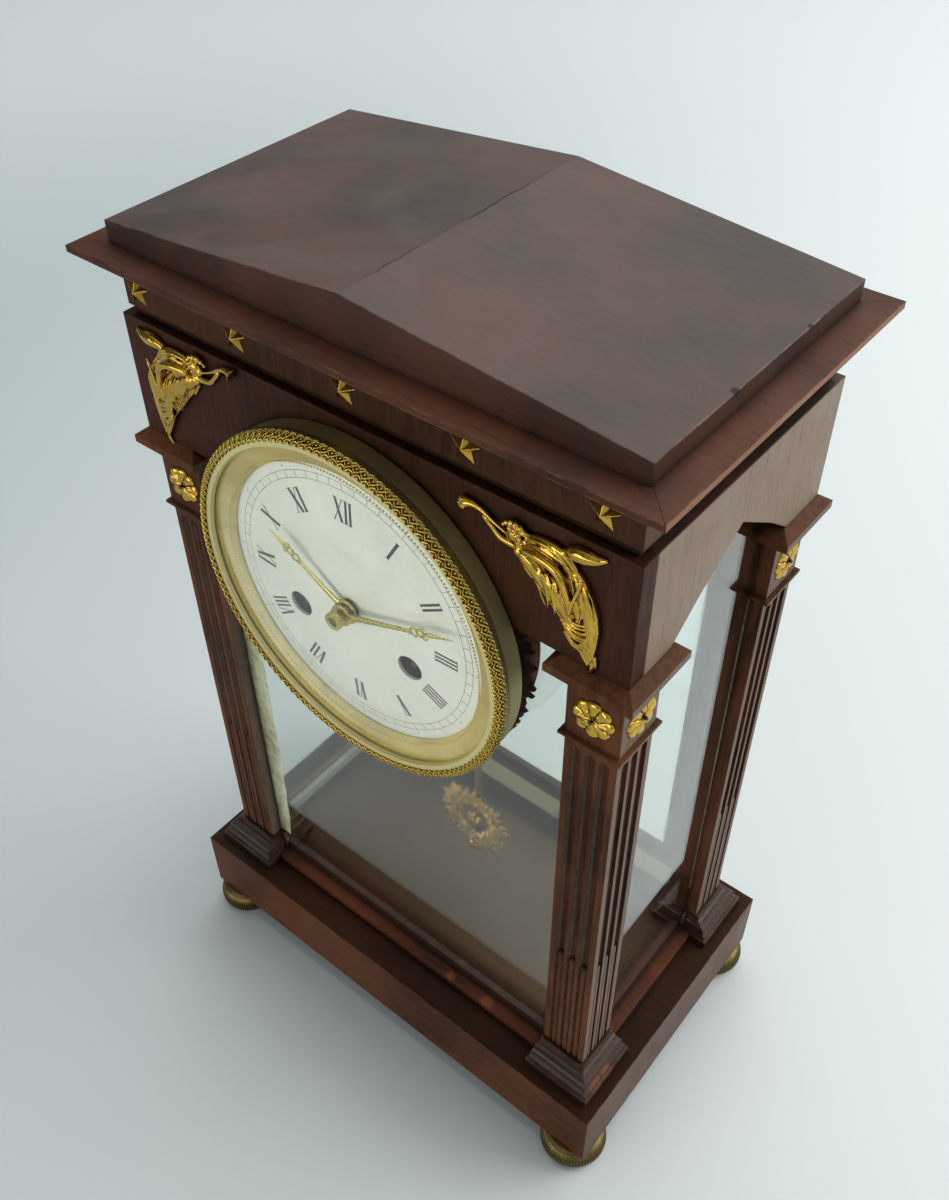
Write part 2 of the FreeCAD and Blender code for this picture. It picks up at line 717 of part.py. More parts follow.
keep("bezel", cut("Bezel", bezelWhole, bezelPinHole))

# Domed glass held between the flange and the sight ring
domeEdge = bezelRadius - bezelFlange - bezelRim * 0.3
glassFace = [(bezelBore, flangeBack)] + dome(domeEdge, flangeBack, domeRise, domeShares)
glassBack = [(r, y + domeThick) for r, y in reversed(glassFace)]
keep("bezel_glass", turned("BezelGlass", glassFace + glassBack, (0, 0, zDial)))
sightBack = flangeBack + domeThick
keep("sight_ring", turned("SightRing", [(bezelBore, sightBack), (bezelBore, sightBack + sightThick),
                                        (sightBore, sightBack + sightDepth + sightThick),
                                        (sightBore, sightBack + sightDepth)], (0, 0, zDial)))


# Toothed wheels. Directions are angles in the face of the clock, from +X towards +Z.
addendumShare = 1.1
dedendumShare = 1.3
toothShare = 0.55
leafAddendumShare = 0.7
leafDedendumShare = 1.5
leafBaseShare = 0.36
leafTipShare = 0.2


def spot(radius, angle):
    return Vector(radius * math.cos(angle), 0, radius * math.sin(angle))


def wheelOutline(teeth, module, gap):
    """Pointed teeth, with a space on the given direction."""
    pitch = 2 * math.pi / teeth
    ring = []
    for k in range(teeth):
        middle = gap + (k + 0.5) * pitch
        root = module * (teeth / 2 - dedendumShare)
        ring.append(spot(root, middle - pitch * toothShare / 2))
        ring.append(spot(module * (teeth / 2 + addendumShare), middle))
        ring.append(spot(root, middle + pitch * toothShare / 2))
    return Part.makePolygon(ring + ring[:1])


def pinionOutline(leaves, module, leaf):
    """Flat-topped leaves, one of them on the given direction."""
    pitch = 2 * math.pi / leaves
    ring = []
    for k in range(leaves):
        middle = leaf + k * pitch
        root = module * (leaves / 2 - leafDedendumShare)
        tip = module * (leaves / 2 + leafAddendumShare)
        for radius, at in ((root, -leafBaseShare), (tip, -leafTipShare), (tip, leafTipShare),
                           (root, leafBaseShare)):
            ring.append(spot(radius, middle + pitch * at / 2))
    return Part.makePolygon(ring + ring[:1])


def windows(arms, hub, rim, armWidth, start):
    """The spaces between the crossings of a wheel."""
    made = []
    steps = 4
    for k in range(arms):
        first = start + 2 * math.pi * k / arms
        ring = []
        for radius, order in ((rim, range(steps + 1)), (hub, reversed(range(steps + 1)))):
            spare = math.asin(armWidth / 2 / radius)
            low = first + spare
            high = first + 2 * math.pi / arms - spare
            ring += [spot(radius, low + (high - low) * j / steps) for j in order]
        made.append(Part.makePolygon(ring + ring[:1]))
    return made


def solidOf(wires, front, back):
    face = Part.makeFace(wires, "Part::FaceMakerBullseye")
    face.translate(Vector(0, front, 0))
    return face.extrude(Vector(0, back - front, 0))


def drumOf(radius, front, back):
    return Part.makeCylinder(radius, back - front, Vector(0, front, 0), Y)


def level(share):
    """A depth between the plates, from the front one back."""
    return plateIn.value + moveGap.value * share


def arborOf(thick, thin, gaps, front=None, back=None):
    """An arbor with a pivot at each end, left open where a pinion takes its place."""
    shake = endShake.value
    low = plateIn.value + shake
    high = backFace.value - shake
    front = -moveFront.value if front is None else front
    back = rearFace.value if back is None else back
    made = [drumOf(thin, front, low), drumOf(thin, high, back)]
    at = low
    for a, b in sorted(gaps):
        if a > at:
            made.append(drumOf(thick, at, a))
        at = b
    made.append(drumOf(thick, at, high))
    return made


def joined(name, shapes, place2):
    """One piece from several overlapping or touching shapes, set on its arbor line."""
    whole = shapes[0].multiFuse(shapes[1:]).removeSplitter()
    if len(whole.Solids) == 1:
        whole = whole.Solids[0]
    made = shaped(name, whole)
    made.Placement = FreeCAD.Placement(Vector(place2[0], 0, zDial.value + place2[1]), upright)
    return made


def towards(p, q):
    return math.atan2(q[1] - p[1], q[0] - p[0])


def meet(p, reachP, q, reachQ, side):
    """The point at two given distances from two arbors."""
    gap = math.hypot(q[0] - p[0], q[1] - p[1])
    along2 = (reachP ** 2 - reachQ ** 2 + gap ** 2) / (2 * gap)
    rise = math.sqrt(reachP ** 2 - along2 ** 2) * side
    ux = (q[0] - p[0]) / gap
    uz = (q[1] - p[1]) / gap
    return (p[0] + ux * along2 - uz * rise, p[1] + uz * along2 + ux * rise)


def apart(module, teeth, leaves):
    return module.value * (teeth + leaves) / 2


barrelTeeth = 60
barrelLeaves = 10
secondTeeth = 48
secondLeaves = 8
centreTeeth = 72
thirdTeeth = 60
fastLeaves = 6
escapeTeeth = 30
pinTeeth = 60
cannonTeeth = 12
minuteTeeth = 36
minuteLeaves = 10
hourTeeth = 40

atCentre = (0.0, 0.0)
atGoing = (windX.value, -windZ.value)
atStrike = (-windX.value, -windZ.value)
barrelApart = apart(barrelModule, barrelTeeth, barrelLeaves)
secondApart = apart(secondModule, secondTeeth, secondLeaves)
atSecond = meet(atGoing, barrelApart, atCentre, secondApart, 1)
atEscape = (0.0, escapeRise.value)
atThird = meet(atCentre, apart(fastModule, centreTeeth, fastLeaves), atEscape,
               apart(fastModule, thirdTeeth, fastLeaves), -1)
atAnchor = (0.0, pivotRise.value)
pinPlaceShares = (-0.73515, 0.845)
atPin = (pinPlaceShares[0] * escapeRise.value, pinPlaceShares[1] * escapeRise.value)
atStrikeSecond = meet(atStrike, barrelApart, atPin, secondApart, -1)
flyApart = apart(fastModule, pinTeeth, fastLeaves)
flyPlaceShares = (-0.303, 0.953)
atFly = (atPin[0] + flyPlaceShares[0] * flyApart, atPin[1] + flyPlaceShares[1] * flyApart)
atHammer = (-hammerX.value, hammerZ.value)
minuteApart = motionModule.value * (cannonTeeth + minuteTeeth) / 2
turn60 = math.radians(motionAngle.value)
atMinute = (minuteApart * math.cos(turn60), minuteApart * math.sin(turn60))

thick = arborRadius.value
thin = pivotRadius.value


def barrel(name, where, next2):
    teeth = [wheelOutline(barrelTeeth, barrelModule.value, towards(where, next2))]
    arbor = squareWidth.value * 0.7
    front = -moveFront.value - windReach.value
    shapes = [solidOf(teeth, level(0.579), level(0.632)),
              drumOf(barrelRadius.value, level(0.105), level(0.579)),
              drumOf(arbor, plateIn.value + endShake.value, level(0.105)),
              drumOf(arbor * 0.7, level(0.632), rearFace.value),
              drumOf(arbor * 0.75, -moveFront.value - endShake.value, plateIn.value + endShake.value)]
    half = squareWidth.value / 2 / math.sqrt(2)
    key = Part.makeBox(half * 2, -moveFront.value - endShake.value - front, half * 2,
                       Vector(-half, front, -half))
    return joined(name, shapes + [key], where)


keep("going_barrel", barrel("GoingBarrel", atGoing, atSecond))
keep("strike_barrel", barrel("StrikeBarrel", atStrike, atStrikeSecond))


def arborWheel(name, where, leaves, leafModule, leafWay, leafShares, teeth, module, gapWay,
               wheelShares, arms, extra=(), front=None, back=None):
    """A wheel and its pinion on one arbor."""
    a, b = level(leafShares[0]), level(leafShares[1])
    c, d = level(wheelShares[0]), level(wheelShares[1])
    hub = max(thick * 1.8, leafModule.value * (leaves / 2 + leafAddendumShare) * 1.05)
    rim = module.value * (teeth / 2 - dedendumShare) - module.value * 2.4
    cutouts = windows(arms, hub * 1.25, rim, hub * 0.75, gapWay)
    wheel = solidOf([wheelOutline(teeth, module.value, gapWay)] + cutouts, c, d)
    shapes = [wheel, solidOf([pinionOutline(leaves, leafModule.value, leafWay)], a, b)]
    shapes += arborOf(thick, thin, [(a, b)], front, back)
    return joined(name, shapes + list(extra), where)


keep("second_wheel", arborWheel("SecondWheel", atSecond, barrelLeaves, barrelModule,
                                towards(atSecond, atGoing), (0.566, 0.658), secondTeeth,
                                secondModule, towards(atSecond, atCentre), (0.737, 0.776), 5))
keep("centre_wheel", arborWheel("CentreWheel", atCentre, secondLeaves, secondModule,
                                towards(atCentre, atSecond), (0.724, 0.789), centreTeeth, fastModule,
                                towards(atCentre, atThird), (0.868, 0.905), 5,
                                [drumOf(thick, -moveFront.value - pipeReach.value * 0.95,
                                        plateIn.value + endShake.value)]))
keep("third_wheel", arborWheel("ThirdWheel", atThird, fastLeaves, fastModule,
                               towards(atThird, atCentre), (0.829, 0.934), thirdTeeth, fastModule,
                               towards(atThird, atEscape), (0.447, 0.479), 5))

# The count wheel rides on the second arbor of the striking train, behind the back plate
keep("strike_second_wheel", arborWheel("StrikeSecond", atStrikeSecond, barrelLeaves, barrelModule,
                                       towards(atStrikeSecond, atStrike), (0.553, 0.642),
                                       secondTeeth, secondModule, towards(atStrikeSecond, atPin),
                                       (0.647, 0.679), 5, (), None,
                                       rearFace.value + countThick.value * 2.2))
notches = [0]
hours = 0
for hour in range(1, 13):
    hours += hour
    notches.append(hours)
countRing = []
ringSteps = 78
for stroke in range(ringSteps):
    low = 2 * math.pi * stroke / ringSteps
    deep = countRadius.value * (0.84 if stroke in notches else 1.0)
    countRing.append(spot(deep, low))
    countRing.append(spot(deep, low + 2 * math.pi / ringSteps * 0.98))
countHole = Part.makeCircle(pivotRadius.value, Vector(0, 0, 0), Y)
countFace = [Part.makePolygon(countRing + countRing[:1]), Part.Wire([countHole])]
countFront = rearFace.value + countThick.value
keep("count_wheel", joined("CountWheel",
                           [solidOf(countFace, countFront, countFront + countThick.value)],
                           atStrikeSecond))

pinCount = 8
pinTurn = pinTeeth / 2 * fastModule.value * 0.86
pins = []
for k in range(pinCount):
    pinSpot = spot(pinTurn, 2 * math.pi * (k + 0.5) / pinCount)
    pins.append(Part.makeCylinder(thin, level(0.421) - level(0.36),
                                  Vector(pinSpot.x, level(0.36), pinSpot.z), Y))
keep("pin_wheel", arborWheel("PinWheel", atPin, secondLeaves, secondModule,
                             towards(atPin, atStrikeSecond), (0.618, 0.695), pinTeeth, fastModule,
                             towards(atPin, atFly), (0.342, 0.374), 4, pins))

flyShapes = [solidOf([pinionOutline(fastLeaves, fastModule.value, towards(atFly, atPin))],
                     level(0.329), level(0.387))]
flyShapes += arborOf(thick * 0.8, thin * 0.8, [(level(0.329), level(0.387))])
flyShapes.append(Part.makeBox(flyRadius.value * 2, level(0.921) - level(0.447), thin,
                              Vector(-flyRadius.value, level(0.447), -thin / 2)))
keep("fly", joined("Fly", flyShapes, atFly))

# Escape wheel with raked teeth, and its pinion
escapeRing = []
escapePitch = 2 * math.pi / escapeTeeth
rakeShare = 0.28
escapeRootShare = 0.8
for k in range(escapeTeeth):
    at = math.pi / 2 + (k + 0.5) * escapePitch
    root = escapeRadius.value * escapeRootShare
    escapeRing.append(spot(root, at - escapePitch * 0.3))
    escapeRing.append(spot(escapeRadius.value, at - escapePitch * rakeShare))
    escapeRing.append(spot(escapeRadius.value, at - escapePitch * 0.2))
    escapeRing.append(spot(root, at + escapePitch * 0.25))
escapeHub = thick * 2.2
escapeCuts = windows(4, escapeHub, escapeRadius.value * 0.66, thick * 1.6, 0)
escapeFaces = [Part.makePolygon(escapeRing + escapeRing[:1])] + escapeCuts
escapeShapes = [solidOf(escapeFaces, level(0.711), level(0.737)),
                solidOf([pinionOutline(fastLeaves, fastModule.value, towards(atEscape, atThird))],
                        level(0.408), level(0.513))]
escapeShapes += arborOf(thick, thin, [(level(0.408), level(0.513))])
keep("escape_wheel", joined("EscapeWheel", escapeShapes, atEscape))


def bar(p, q, width, front, back, end=None):
    """A flat bar between two points of the face, tapering to the end width."""
    end = width if end is None else end
    way = Vector(q[0] - p[0], 0, q[1] - p[1])
    side = Vector(-way.z, 0, way.x).normalize()
    a = Vector(p[0], 0, p[1])
    b = Vector(q[0], 0, q[1])
    ring = [a - side * (width / 2), b - side * (end / 2), b + side * (end / 2), a + side * (width / 2)]
    return solidOf([Part.makePolygon(ring + ring[:1])], front, back)


# Anchor, its arbor and the crutch that takes the rod of the pendulum between two prongs
drop = pivotRise.value - escapeRise.value
nib = escapeRadius.value + palletClear.value
nibTurn = math.radians(52)
nibX = nib * math.sin(nibTurn)
nibZ = nib * math.cos(nibTurn) - drop
armWide = thick * 1.7
palletFront = level(0.684)
palletBack = level(0.763)
anchorShapes = [drumOf(thick * 1.9, palletFront, palletBack)]
for way in (-1, 1):
    elbow = (way * nibX * 1.25, nibZ * 0.55)
    anchorShapes.append(bar((0, 0), elbow, armWide * 1.2, palletFront, palletBack, armWide))
    anchorShapes.append(bar((elbow[0], elbow[1] + armWide * 0.4), (way * nibX * 1.02, nibZ), armWide,
                            palletFront, palletBack, armWide * 0.45))
rodY = pendulumBack.value + rearFace.value
crutchFront = rearFace.value + moveThick.value * 1.5
crutchBack = crutchFront + moveThick.value * 0.75
crutchLong = pivotRise.value * 1.15
prong = rodWidth.value / 2 + runClear.value
anchorShapes += arborOf(thick, thin, [], None, crutchBack + moveThick.value)
anchorShapes.append(drumOf(thick * 1.25, crutchFront, crutchBack))
anchorShapes.append(bar((0, 0), (0, -crutchLong), thick * 1.8, crutchFront, crutchBack, thick * 1.2))
anchorShapes.append(Part.makeBox((prong + thin) * 2, crutchBack - crutchFront, thin * 3,
                                 Vector(-prong - thin, crutchFront, -crutchLong - thin * 1.5)))
for way in (-1, 1):
    low = -prong - thin if way < 0 else prong
    anchorShapes.append(Part.makeBox(thin, rodY + rodThick.value - crutchFront, thin * 3,
                                     Vector(low, crutchFront, -crutchLong - thin * 1.5)))
keep("anchor", joined("Anchor", anchorShapes, atAnchor))

# Hammer of the striking train: its tail stands by the pins, its head beside the bell
headX = -bellRadius.value - hammerGap.value - hammerHead.value
rearReach = bellBack.value + rearFace.value
hammerLow = -bellDrop.value - atHammer[1]
hammerEnd = (headX - atHammer[0], hammerLow)
tailWay = towards(atHammer, atPin)
tailLong = math.hypot(atPin[0] - atHammer[0], atPin[1] - atHammer[1]) - pinTurn - thin * 2.2
tailTip = (tailLong * math.cos(tailWay), tailLong * math.sin(tailWay))
armFront = rearReach - thick * 0.8
armBack = rearReach + thick * 0.8
hammerShapes = arborOf(thick, thin, [], None, armBack)
hammerShapes += [drumOf(thick, rearFace.value + endShake.value, armBack),
                 drumOf(thick * 1.7, level(0.395), level(0.416)),
                 bar((0, 0), tailTip, thick * 2, level(0.395), level(0.416), thick),
                 bar((0, 0), hammerEnd, thick * 1.8, armFront, armBack, thick * 1.3),
                 Part.makeCylinder(hammerHead.value, hammerHead.value * 2.6,
                                   Vector(headX + hammerHead.value - hammerHead.value * 2.6 - atHammer[0],
                                          rearReach, hammerLow), X)]
keep("hammer", joined("Hammer", hammerShapes, atHammer))

# Plates, drilled for every pivot, and the four pillars between them
pivots = [atGoing, atStrike, atSecond, atThird, atEscape, atAnchor, atStrikeSecond, atPin, atFly,
          atHammer, atCentre]


def drilled(name, front, wide):
    """A round plate with a running hole for each pivot."""
    made = slab(name + "Disc", moveRadius, front, front + moveThick)
    holes = []
    for k, (px, pz) in enumerate(pivots):
        radius = wide.get(k, pivotRadius) + runClear
        holes.append(slab("%sHole%d" % (name, k), radius, front - moveThick, front + moveThick * 2,
                          px, pz))
    return made, group(name + "Holes", holes)


barrelPivot = squareWidth * 0.7 * 0.75
frontDisc, frontHoles = drilled("FrontPlate", -moveFront, {0: barrelPivot, 1: barrelPivot,
                                                           10: arborRadius})
frontCut = cut("FrontPlateCut", frontDisc, frontHoles)
studY = -moveFront - motionModule * 13
stud = slab("MotionStud", arborRadius, studY, -moveFront + moveThick / 2, atMinute[0], atMinute[1])
keep("front_plate", fuse("FrontPlateWhole", [frontCut, stud]))
rearPivot = squareWidth * 0.7 * 0.7
rearDisc, rearHoles = drilled("BackPlate", backFace, {0: rearPivot, 1: rearPivot, 9: arborRadius})
keep("back_plate", cut("BackPlateCut", rearDisc, rearHoles))

pillarShares = ((0.39, -0.845), (-0.39, -0.845), (0.65, 0.65), (-0.91, 0.12))
pillarSet = []
for k, (sx, sz) in enumerate(pillarShares):
    where = (moveRadius * sx, 0, zDial + moveRadius * sz)
    waist = pillarRadius * 0.8
    pillarSet.append(turned("Pillar%d" % k,
                            [(0, plateIn), (pillarRadius, plateIn),
                             (pillarRadius, plateIn + moveGap * 0.06), (waist, plateIn + moveGap * 0.1),
                             (waist, backFace - moveGap * 0.1), (pillarRadius, backFace - moveGap * 0.06),
                             (pillarRadius, backFace), (0, backFace)], where))
    pillarSet.append(slab("PillarNut%d" % k, waist, rearFace, rearFace + moveThick * 0.6,
                          moveRadius * sx, moveRadius * sz))
keep("pillars", group("Pillars", pillarSet))

# Suspension cock on the top of the back plate, with the rear bearing of the anchor arbor
cockLow = pivotRise + endShake + pivotRadius
rodPlane = rearFace + pendulumBack
cockArm = block("CockArm", (-pillarRadius * 1.8, rearFace, zDial + cockLow + pivotRadius),
                (pillarRadius * 1.8, rodPlane + rodWidth, zDial + cockLow + moveThick * 2.6))
lugFront = size(crutchBack) + endShake
lug = block("CockLug", (-pillarRadius, lugFront, zDial + pivotRise - pillarRadius),
            (pillarRadius, lugFront + moveThick * 0.75, zDial + cockLow + moveThick * 1.5))
lugHole = slab("CockLugHole", pivotRadius + runClear, rearFace, rodPlane, 0, pivotRise)
keep("suspension_cock", cut("SuspensionCock", fuse("CockWhole", [cockArm, lug]), lugHole))

# Bell on its stand behind the back plate
bellFront = rearFace + bellBack
bellShares = ((1, 0), (0.985, 0.2), (0.94, 0.4), (0.85, 0.6), (0.71, 0.77), (0.53, 0.89), (0.3, 0.97))
bellHole = pivotRadius * 2
bellOut = dome(bellRadius, bellFront, -bellDepth, bellShares)
bellOut.append((bellHole, bellFront + bellDepth))
bellIn = dome(bellRadius - bellWall, bellFront, -bellDepth + bellWall, bellShares)
bellIn.append((bellHole, bellFront + bellDepth - bellWall))
bellInTop = bellFront + bellDepth - bellWall
keep("bell", turned("Bell", bellOut + list(reversed(bellIn)), (0, 0, zDial - bellDrop)))
standShares = (0.275, -0.87)
standAt = (moveRadius.value * standShares[0], moveRadius.value * standShares[1])
crownY = bellFront.value + bellDepth.value
standBack = crownY + moveThick.value
bellAt = (0, -bellDrop.value)
standWay = (bellAt[0] - standAt[0], bellAt[1] - standAt[1])
screw = bellHole.value * 0.9
standShapes = [drumOf(pillarRadius.value * 0.75, rearFace.value, standBack),
               drumOf(pillarRadius.value * 1.3, rearFace.value, rearFace.value + moveThick.value),
               bar((0, 0), standWay, pillarRadius.value * 1.5, standBack - moveThick.value * 0.8,
                   standBack + moveThick.value * 0.2)]
for radius, low, high in ((pillarRadius.value, crownY, standBack),
                          (screw, crownY - bellDepth.value * 0.25, crownY),
                          (pillarRadius.value * 0.9, crownY - bellDepth.value * 0.25,
                           bellInTop.value - endShake.value)):
    peg = Part.makeCylinder(radius, high - low, Vector(standWay[0], low, standWay[1]), Y)
    standShapes.append(peg)
keep("bell_stand", joined("BellStand", standShapes, standAt))

# Motion work in front of the front plate, and the pipes that carry the hands
front = -moveFront.value
cannonFront = front - motionModule.value * 7
cannonBack = front - motionModule.value * 3
minuteFront = front - motionModule.value * 6.4
minuteBack = front - motionModule.value * 3.6
hourBack = front - motionModule.value * 8.8
hourFront = front - motionModule.value * 11.6
leafFront = front - motionModule.value * 12
minuteWay = towards(atCentre, atMinute)
pipeFront = front - pipeReach.value
minuteTip = minutePipe.value
minuteBore = thick + runClear.value


def bored(name, shapes, radius, where=atCentre):
    """A piece with a running hole on its own arbor line."""
    whole = shapes[0].multiFuse(shapes[1:]) if len(shapes) > 1 else shapes[0]
    hole = drumOf(radius, pipeFront * 2, backFace.value)
    return joined(name, [whole.cut(hole), whole.cut(hole)], where)


cannon = [solidOf([pinionOutline(cannonTeeth, motionModule.value, minuteWay)], cannonFront, cannonBack),
          drumOf(minuteTip, pipeFront, cannonBack), drumOf(minuteTip * 1.6, cannonBack,
                                                           front - motionModule.value)]
keep("cannon_pinion", bored("CannonPinion", cannon, minuteBore))
minuteCuts = windows(4, thick * 2.4, motionModule.value * minuteTeeth / 2 * 0.76, thick * 1.5, 0)
minuteSet = [solidOf([wheelOutline(minuteTeeth, motionModule.value, towards(atMinute, atCentre))]
                     + minuteCuts, minuteFront, minuteBack),
             solidOf([pinionOutline(minuteLeaves, hourModule.value, towards(atMinute, atCentre))],
                     leafFront, minuteFront)]
keep("minute_wheel", bored("MinuteWheel", minuteSet, minuteBore, atMinute))
hourBore = minuteTip + runClear.value
hourTip = hourPipe.value
hourCuts = windows(4, hourTip * 1.4, hourModule.value * hourTeeth / 2 * 0.78, thick * 1.5, 0)
hourEnd = pipeFront + nutLength.value * 2
hourSet = [solidOf([wheelOutline(hourTeeth, hourModule.value, minuteWay)] + hourCuts, hourFront,
                   hourBack), drumOf(hourTip, hourEnd, hourBack)]
keep("hour_wheel", bored("HourWheel", hourSet, hourBore))


def hand(name, length, angle, back, bore, sink):
    """A slender hand: collet, tapering blade, a ring near the tip and a spear point."""
    face = back - handThick.value
    ringAt = length * 0.72
    wide = handWidth.value
    spear = [(-wide * 0.35, ringAt), (-wide * 0.75, length * 0.82), (0, length), (wide * 0.75, length * 0.82),
             (wide * 0.35, ringAt)]
    spearRing = [Vector(px, 0, pz) for px, pz in spear]
    blade = solidOf([Part.makePolygon([Vector(-wide * 0.5, 0, 0)] + spearRing
                                      + [Vector(wide * 0.5, 0, 0), Vector(-wide * 0.5, 0, 0)])],
                    face, back)
    loop = Part.makeCylinder(wide * 0.95, back - face, Vector(0, face, ringAt), Y)
    eye = Part.makeCylinder(wide * 0.45, length, Vector(0, face - length / 2, ringAt), Y)
    blade = blade.fuse(loop).cut(eye)
    blade.rotate(Vector(0, face, 0), X, -math.degrees(math.atan2(sink, length)))
    collet = drumOf(bore + wide * 0.7, face, back + nutLength.value * 0.75)
    whole = blade.fuse(collet).cut(drumOf(bore, pipeFront * 2, 0))
    whole.rotate(Vector(0, 0, 0), Y, angle)
    return joined(name, [whole, whole], atCentre)


hourAngle = 304.8
minuteAngle = 70.8
hourHandBack = hourEnd + handThick.value
keep("hour_hand", hand("HourHand", hourLength.value, hourAngle, hourHandBack, hourTip, 0))
minuteHandBack = pipeFront + nutLength.value * 0.95
keep("minute_hand", hand("MinuteHand", minuteLength.value, minuteAngle, minuteHandBack, minuteTip,
                         minuteDrop.value))
nutBack = minuteHandBack - handThick.value * 1.2
keep("hand_nut", tube("HandNut", nutRadius, minutePipe, nutBack - nutLength.value, nutBack))

# Pendulum: suspension spring, rod with a slot for the crutch, gilt bob and rating nut
springTop = cockLow + pivotRadius - endShake
springLow = pivotRise - pendulumBack * 0.5
rodFoot = pivotRise - pendulumLength - bobRadius - runClear
springParts = [block("Spring", (-rodThick * 0.15, rodPlane - rodWidth / 2, zDial + springLow),
                     (rodThick * 0.15, rodPlane + rodWidth / 2, zDial + springTop)),
               block("SpringClamp", (-rodWidth, rodPlane - rodWidth / 2, zDial + springLow - rodWidth * 1.5),
                     (rodWidth, rodPlane + rodWidth / 2, zDial + springLow)),
               block("Rod", (-rodWidth / 2, rodPlane - rodThick / 2, zDial + rodFoot),
                     (rodWidth / 2, rodPlane + rodThick / 2, zDial + springLow - rodWidth)),
              rod("RodThread", threadRadius, (0, rodPlane, zDial + rodFoot - bobRadius * 0.4),
                  bobRadius * 0.4)]
keep("pendulum_rod", fuse("PendulumRod", springParts))

# Bob: a pierced wreath round a boss, on the foot of the rod
bobZ = pivotRise - pendulumLength
bobFront = rodPlane - rodThick / 2 - bobThick
bobBack = rodPlane - rodThick / 2
bobRim = tube("BobRim", bobRadius, bobRadius * 0.72, bobFront, bobBack, (0, 0, zDial + bobZ))
bobParts = [bobRim, slab("BobBoss", bobRadius * 0.3, bobFront, bobBack, 0, bobZ)]
for tag, wide, tall in (("Across", 1, 0), ("Upright", 0, 1)):
    reachX = bobRadius * (0.8 * wide + 0.09 * tall)
    reachZ = bobRadius * (0.8 * tall + 0.09 * wide)
    bobParts.append(block("BobBar" + tag, (-reachX, bobFront + bobThick * 0.3, zDial + bobZ - reachZ),
                          (reachX, bobBack, zDial + bobZ + reachZ)))
keep("pendulum_bob", fuse("PendulumBob", bobParts))
nutZ = zDial + bobZ - bobRadius - rodWidth * 0.9 - runClear * 2
nutHole = rod("NutHole", threadRadius + runClear, (0, rodPlane, nutZ - rodWidth), rodWidth * 3)
nutDisc = rod("NutDisc", rodWidth * 1.4, (0, rodPlane, nutZ), rodWidth * 0.9)
keep("rating_nut", cut("RatingNut", nutDisc, nutHole))

# Rear door: glazed frame between the rear posts, butt hinges on its left, a turn button on its right
doorX = legX - astragalProud - doorClear
doorLow = zShaft + doorClear
doorHigh = zAbacus - doorHem
doorIn = innerY
doorOut = innerY + doorThick * 0.875
paneX = doorX - doorStile
doorBlank = block("DoorBlank", (-doorX, doorIn, doorLow), (doorX, doorOut, doorHigh))
sight = block("DoorSight", (-paneX, doorIn - doorThick, doorLow + doorStile),
              (paneX, doorOut + doorThick, doorHigh - doorStile))
rebate = block("DoorRebate", (-paneX - doorRebate, doorIn - doorThick, doorLow + doorStile - doorRebate),
               (paneX + doorRebate, doorIn + glassThick, doorHigh - doorStile + doorRebate))
keep("rear_door_frame", cut("DoorFrame", doorBlank, fuse("DoorOpening", [sight, rebate])))
keep("rear_door_glass", block("DoorGlass", (-paneX - doorRebate + doorClear, doorIn,
                                            doorLow + doorStile - doorRebate + doorClear),
                              (paneX + doorRebate - doorClear, doorIn + glassThick,
                               doorHigh - doorStile + doorRebate - doorClear)))
axisX = -legX + (astragalProud + doorClear) / 2
leafY = -outY
axisY = leafY + hingeRadius + runClear * 2
third = hingeLength / 3
doorLeaves = []
caseLeaves = []
for tag, low in (("Low", zShaft + hingeReach), ("High", zCapital - hingeReach - hingeLength)):
    high = low + hingeLength
    a = low + third + hingeGap
    b = high - third - hingeGap
    barrelMid = rod("DoorKnuckle" + tag, hingeRadius, (axisX, axisY, a), b - a)
    leaf = block("DoorLeaf" + tag, (axisX + hingeRadius * 1.2, leafY, low),
                 (axisX + doorStile, leafY + hingeLeaf, high))
    tongue = block("DoorTongue" + tag, (axisX, leafY, a), (axisX + doorStile / 2, leafY + hingeLeaf, b))
    bore = rod("DoorBore" + tag, hingePin + runClear, (axisX, axisY, low), hingeLength)
    doorLeaves.append(cut("DoorHinge" + tag, fuse("DoorHingeWhole" + tag, [barrelMid, leaf, tongue]),
                          bore))
    parts = [rod("CasePin" + tag, hingePin, (axisX, axisY, low), hingeLength),
             block("CaseLeaf" + tag, (axisX - doorStile, leafY, low),
                   (axisX - hingeRadius * 1.2, leafY + hingeLeaf, high))]
    for end, c, d in (("A", low, low + third), ("B", high - third, high)):
        parts.append(rod("CaseKnuckle" + tag + end, hingeRadius, (axisX, axisY, c), third))
        parts.append(block("CaseTongue" + tag + end, (axisX - doorStile / 2, leafY, c),
                           (axisX, leafY + hingeLeaf, d)))
    caseLeaves.append(fuse("CaseHinge" + tag, parts))
keep("door_hinge_leaves", group("DoorHingeLeaves", doorLeaves))
keep("case_hinge_leaves", group("CaseHingeLeaves", caseLeaves))
buttonX = legX + buttonWidth
buttonZ = (zShaft + zCapital) / 2
buttonY = leafY + runClear
buttonBar = block("ButtonBar", (buttonX - buttonWidth / 2, buttonY, buttonZ - buttonWidth / 2),
                  (buttonX + buttonWidth / 2, buttonY + buttonThick,
                   buttonZ + buttonLength - buttonWidth / 2))
buttonHead = rod("ButtonHead", buttonBoss, (buttonX, buttonY, buttonZ), buttonThick * 1.6, backward)
keep("door_turn_button", fuse("TurnButton", [buttonBar, buttonHead]))


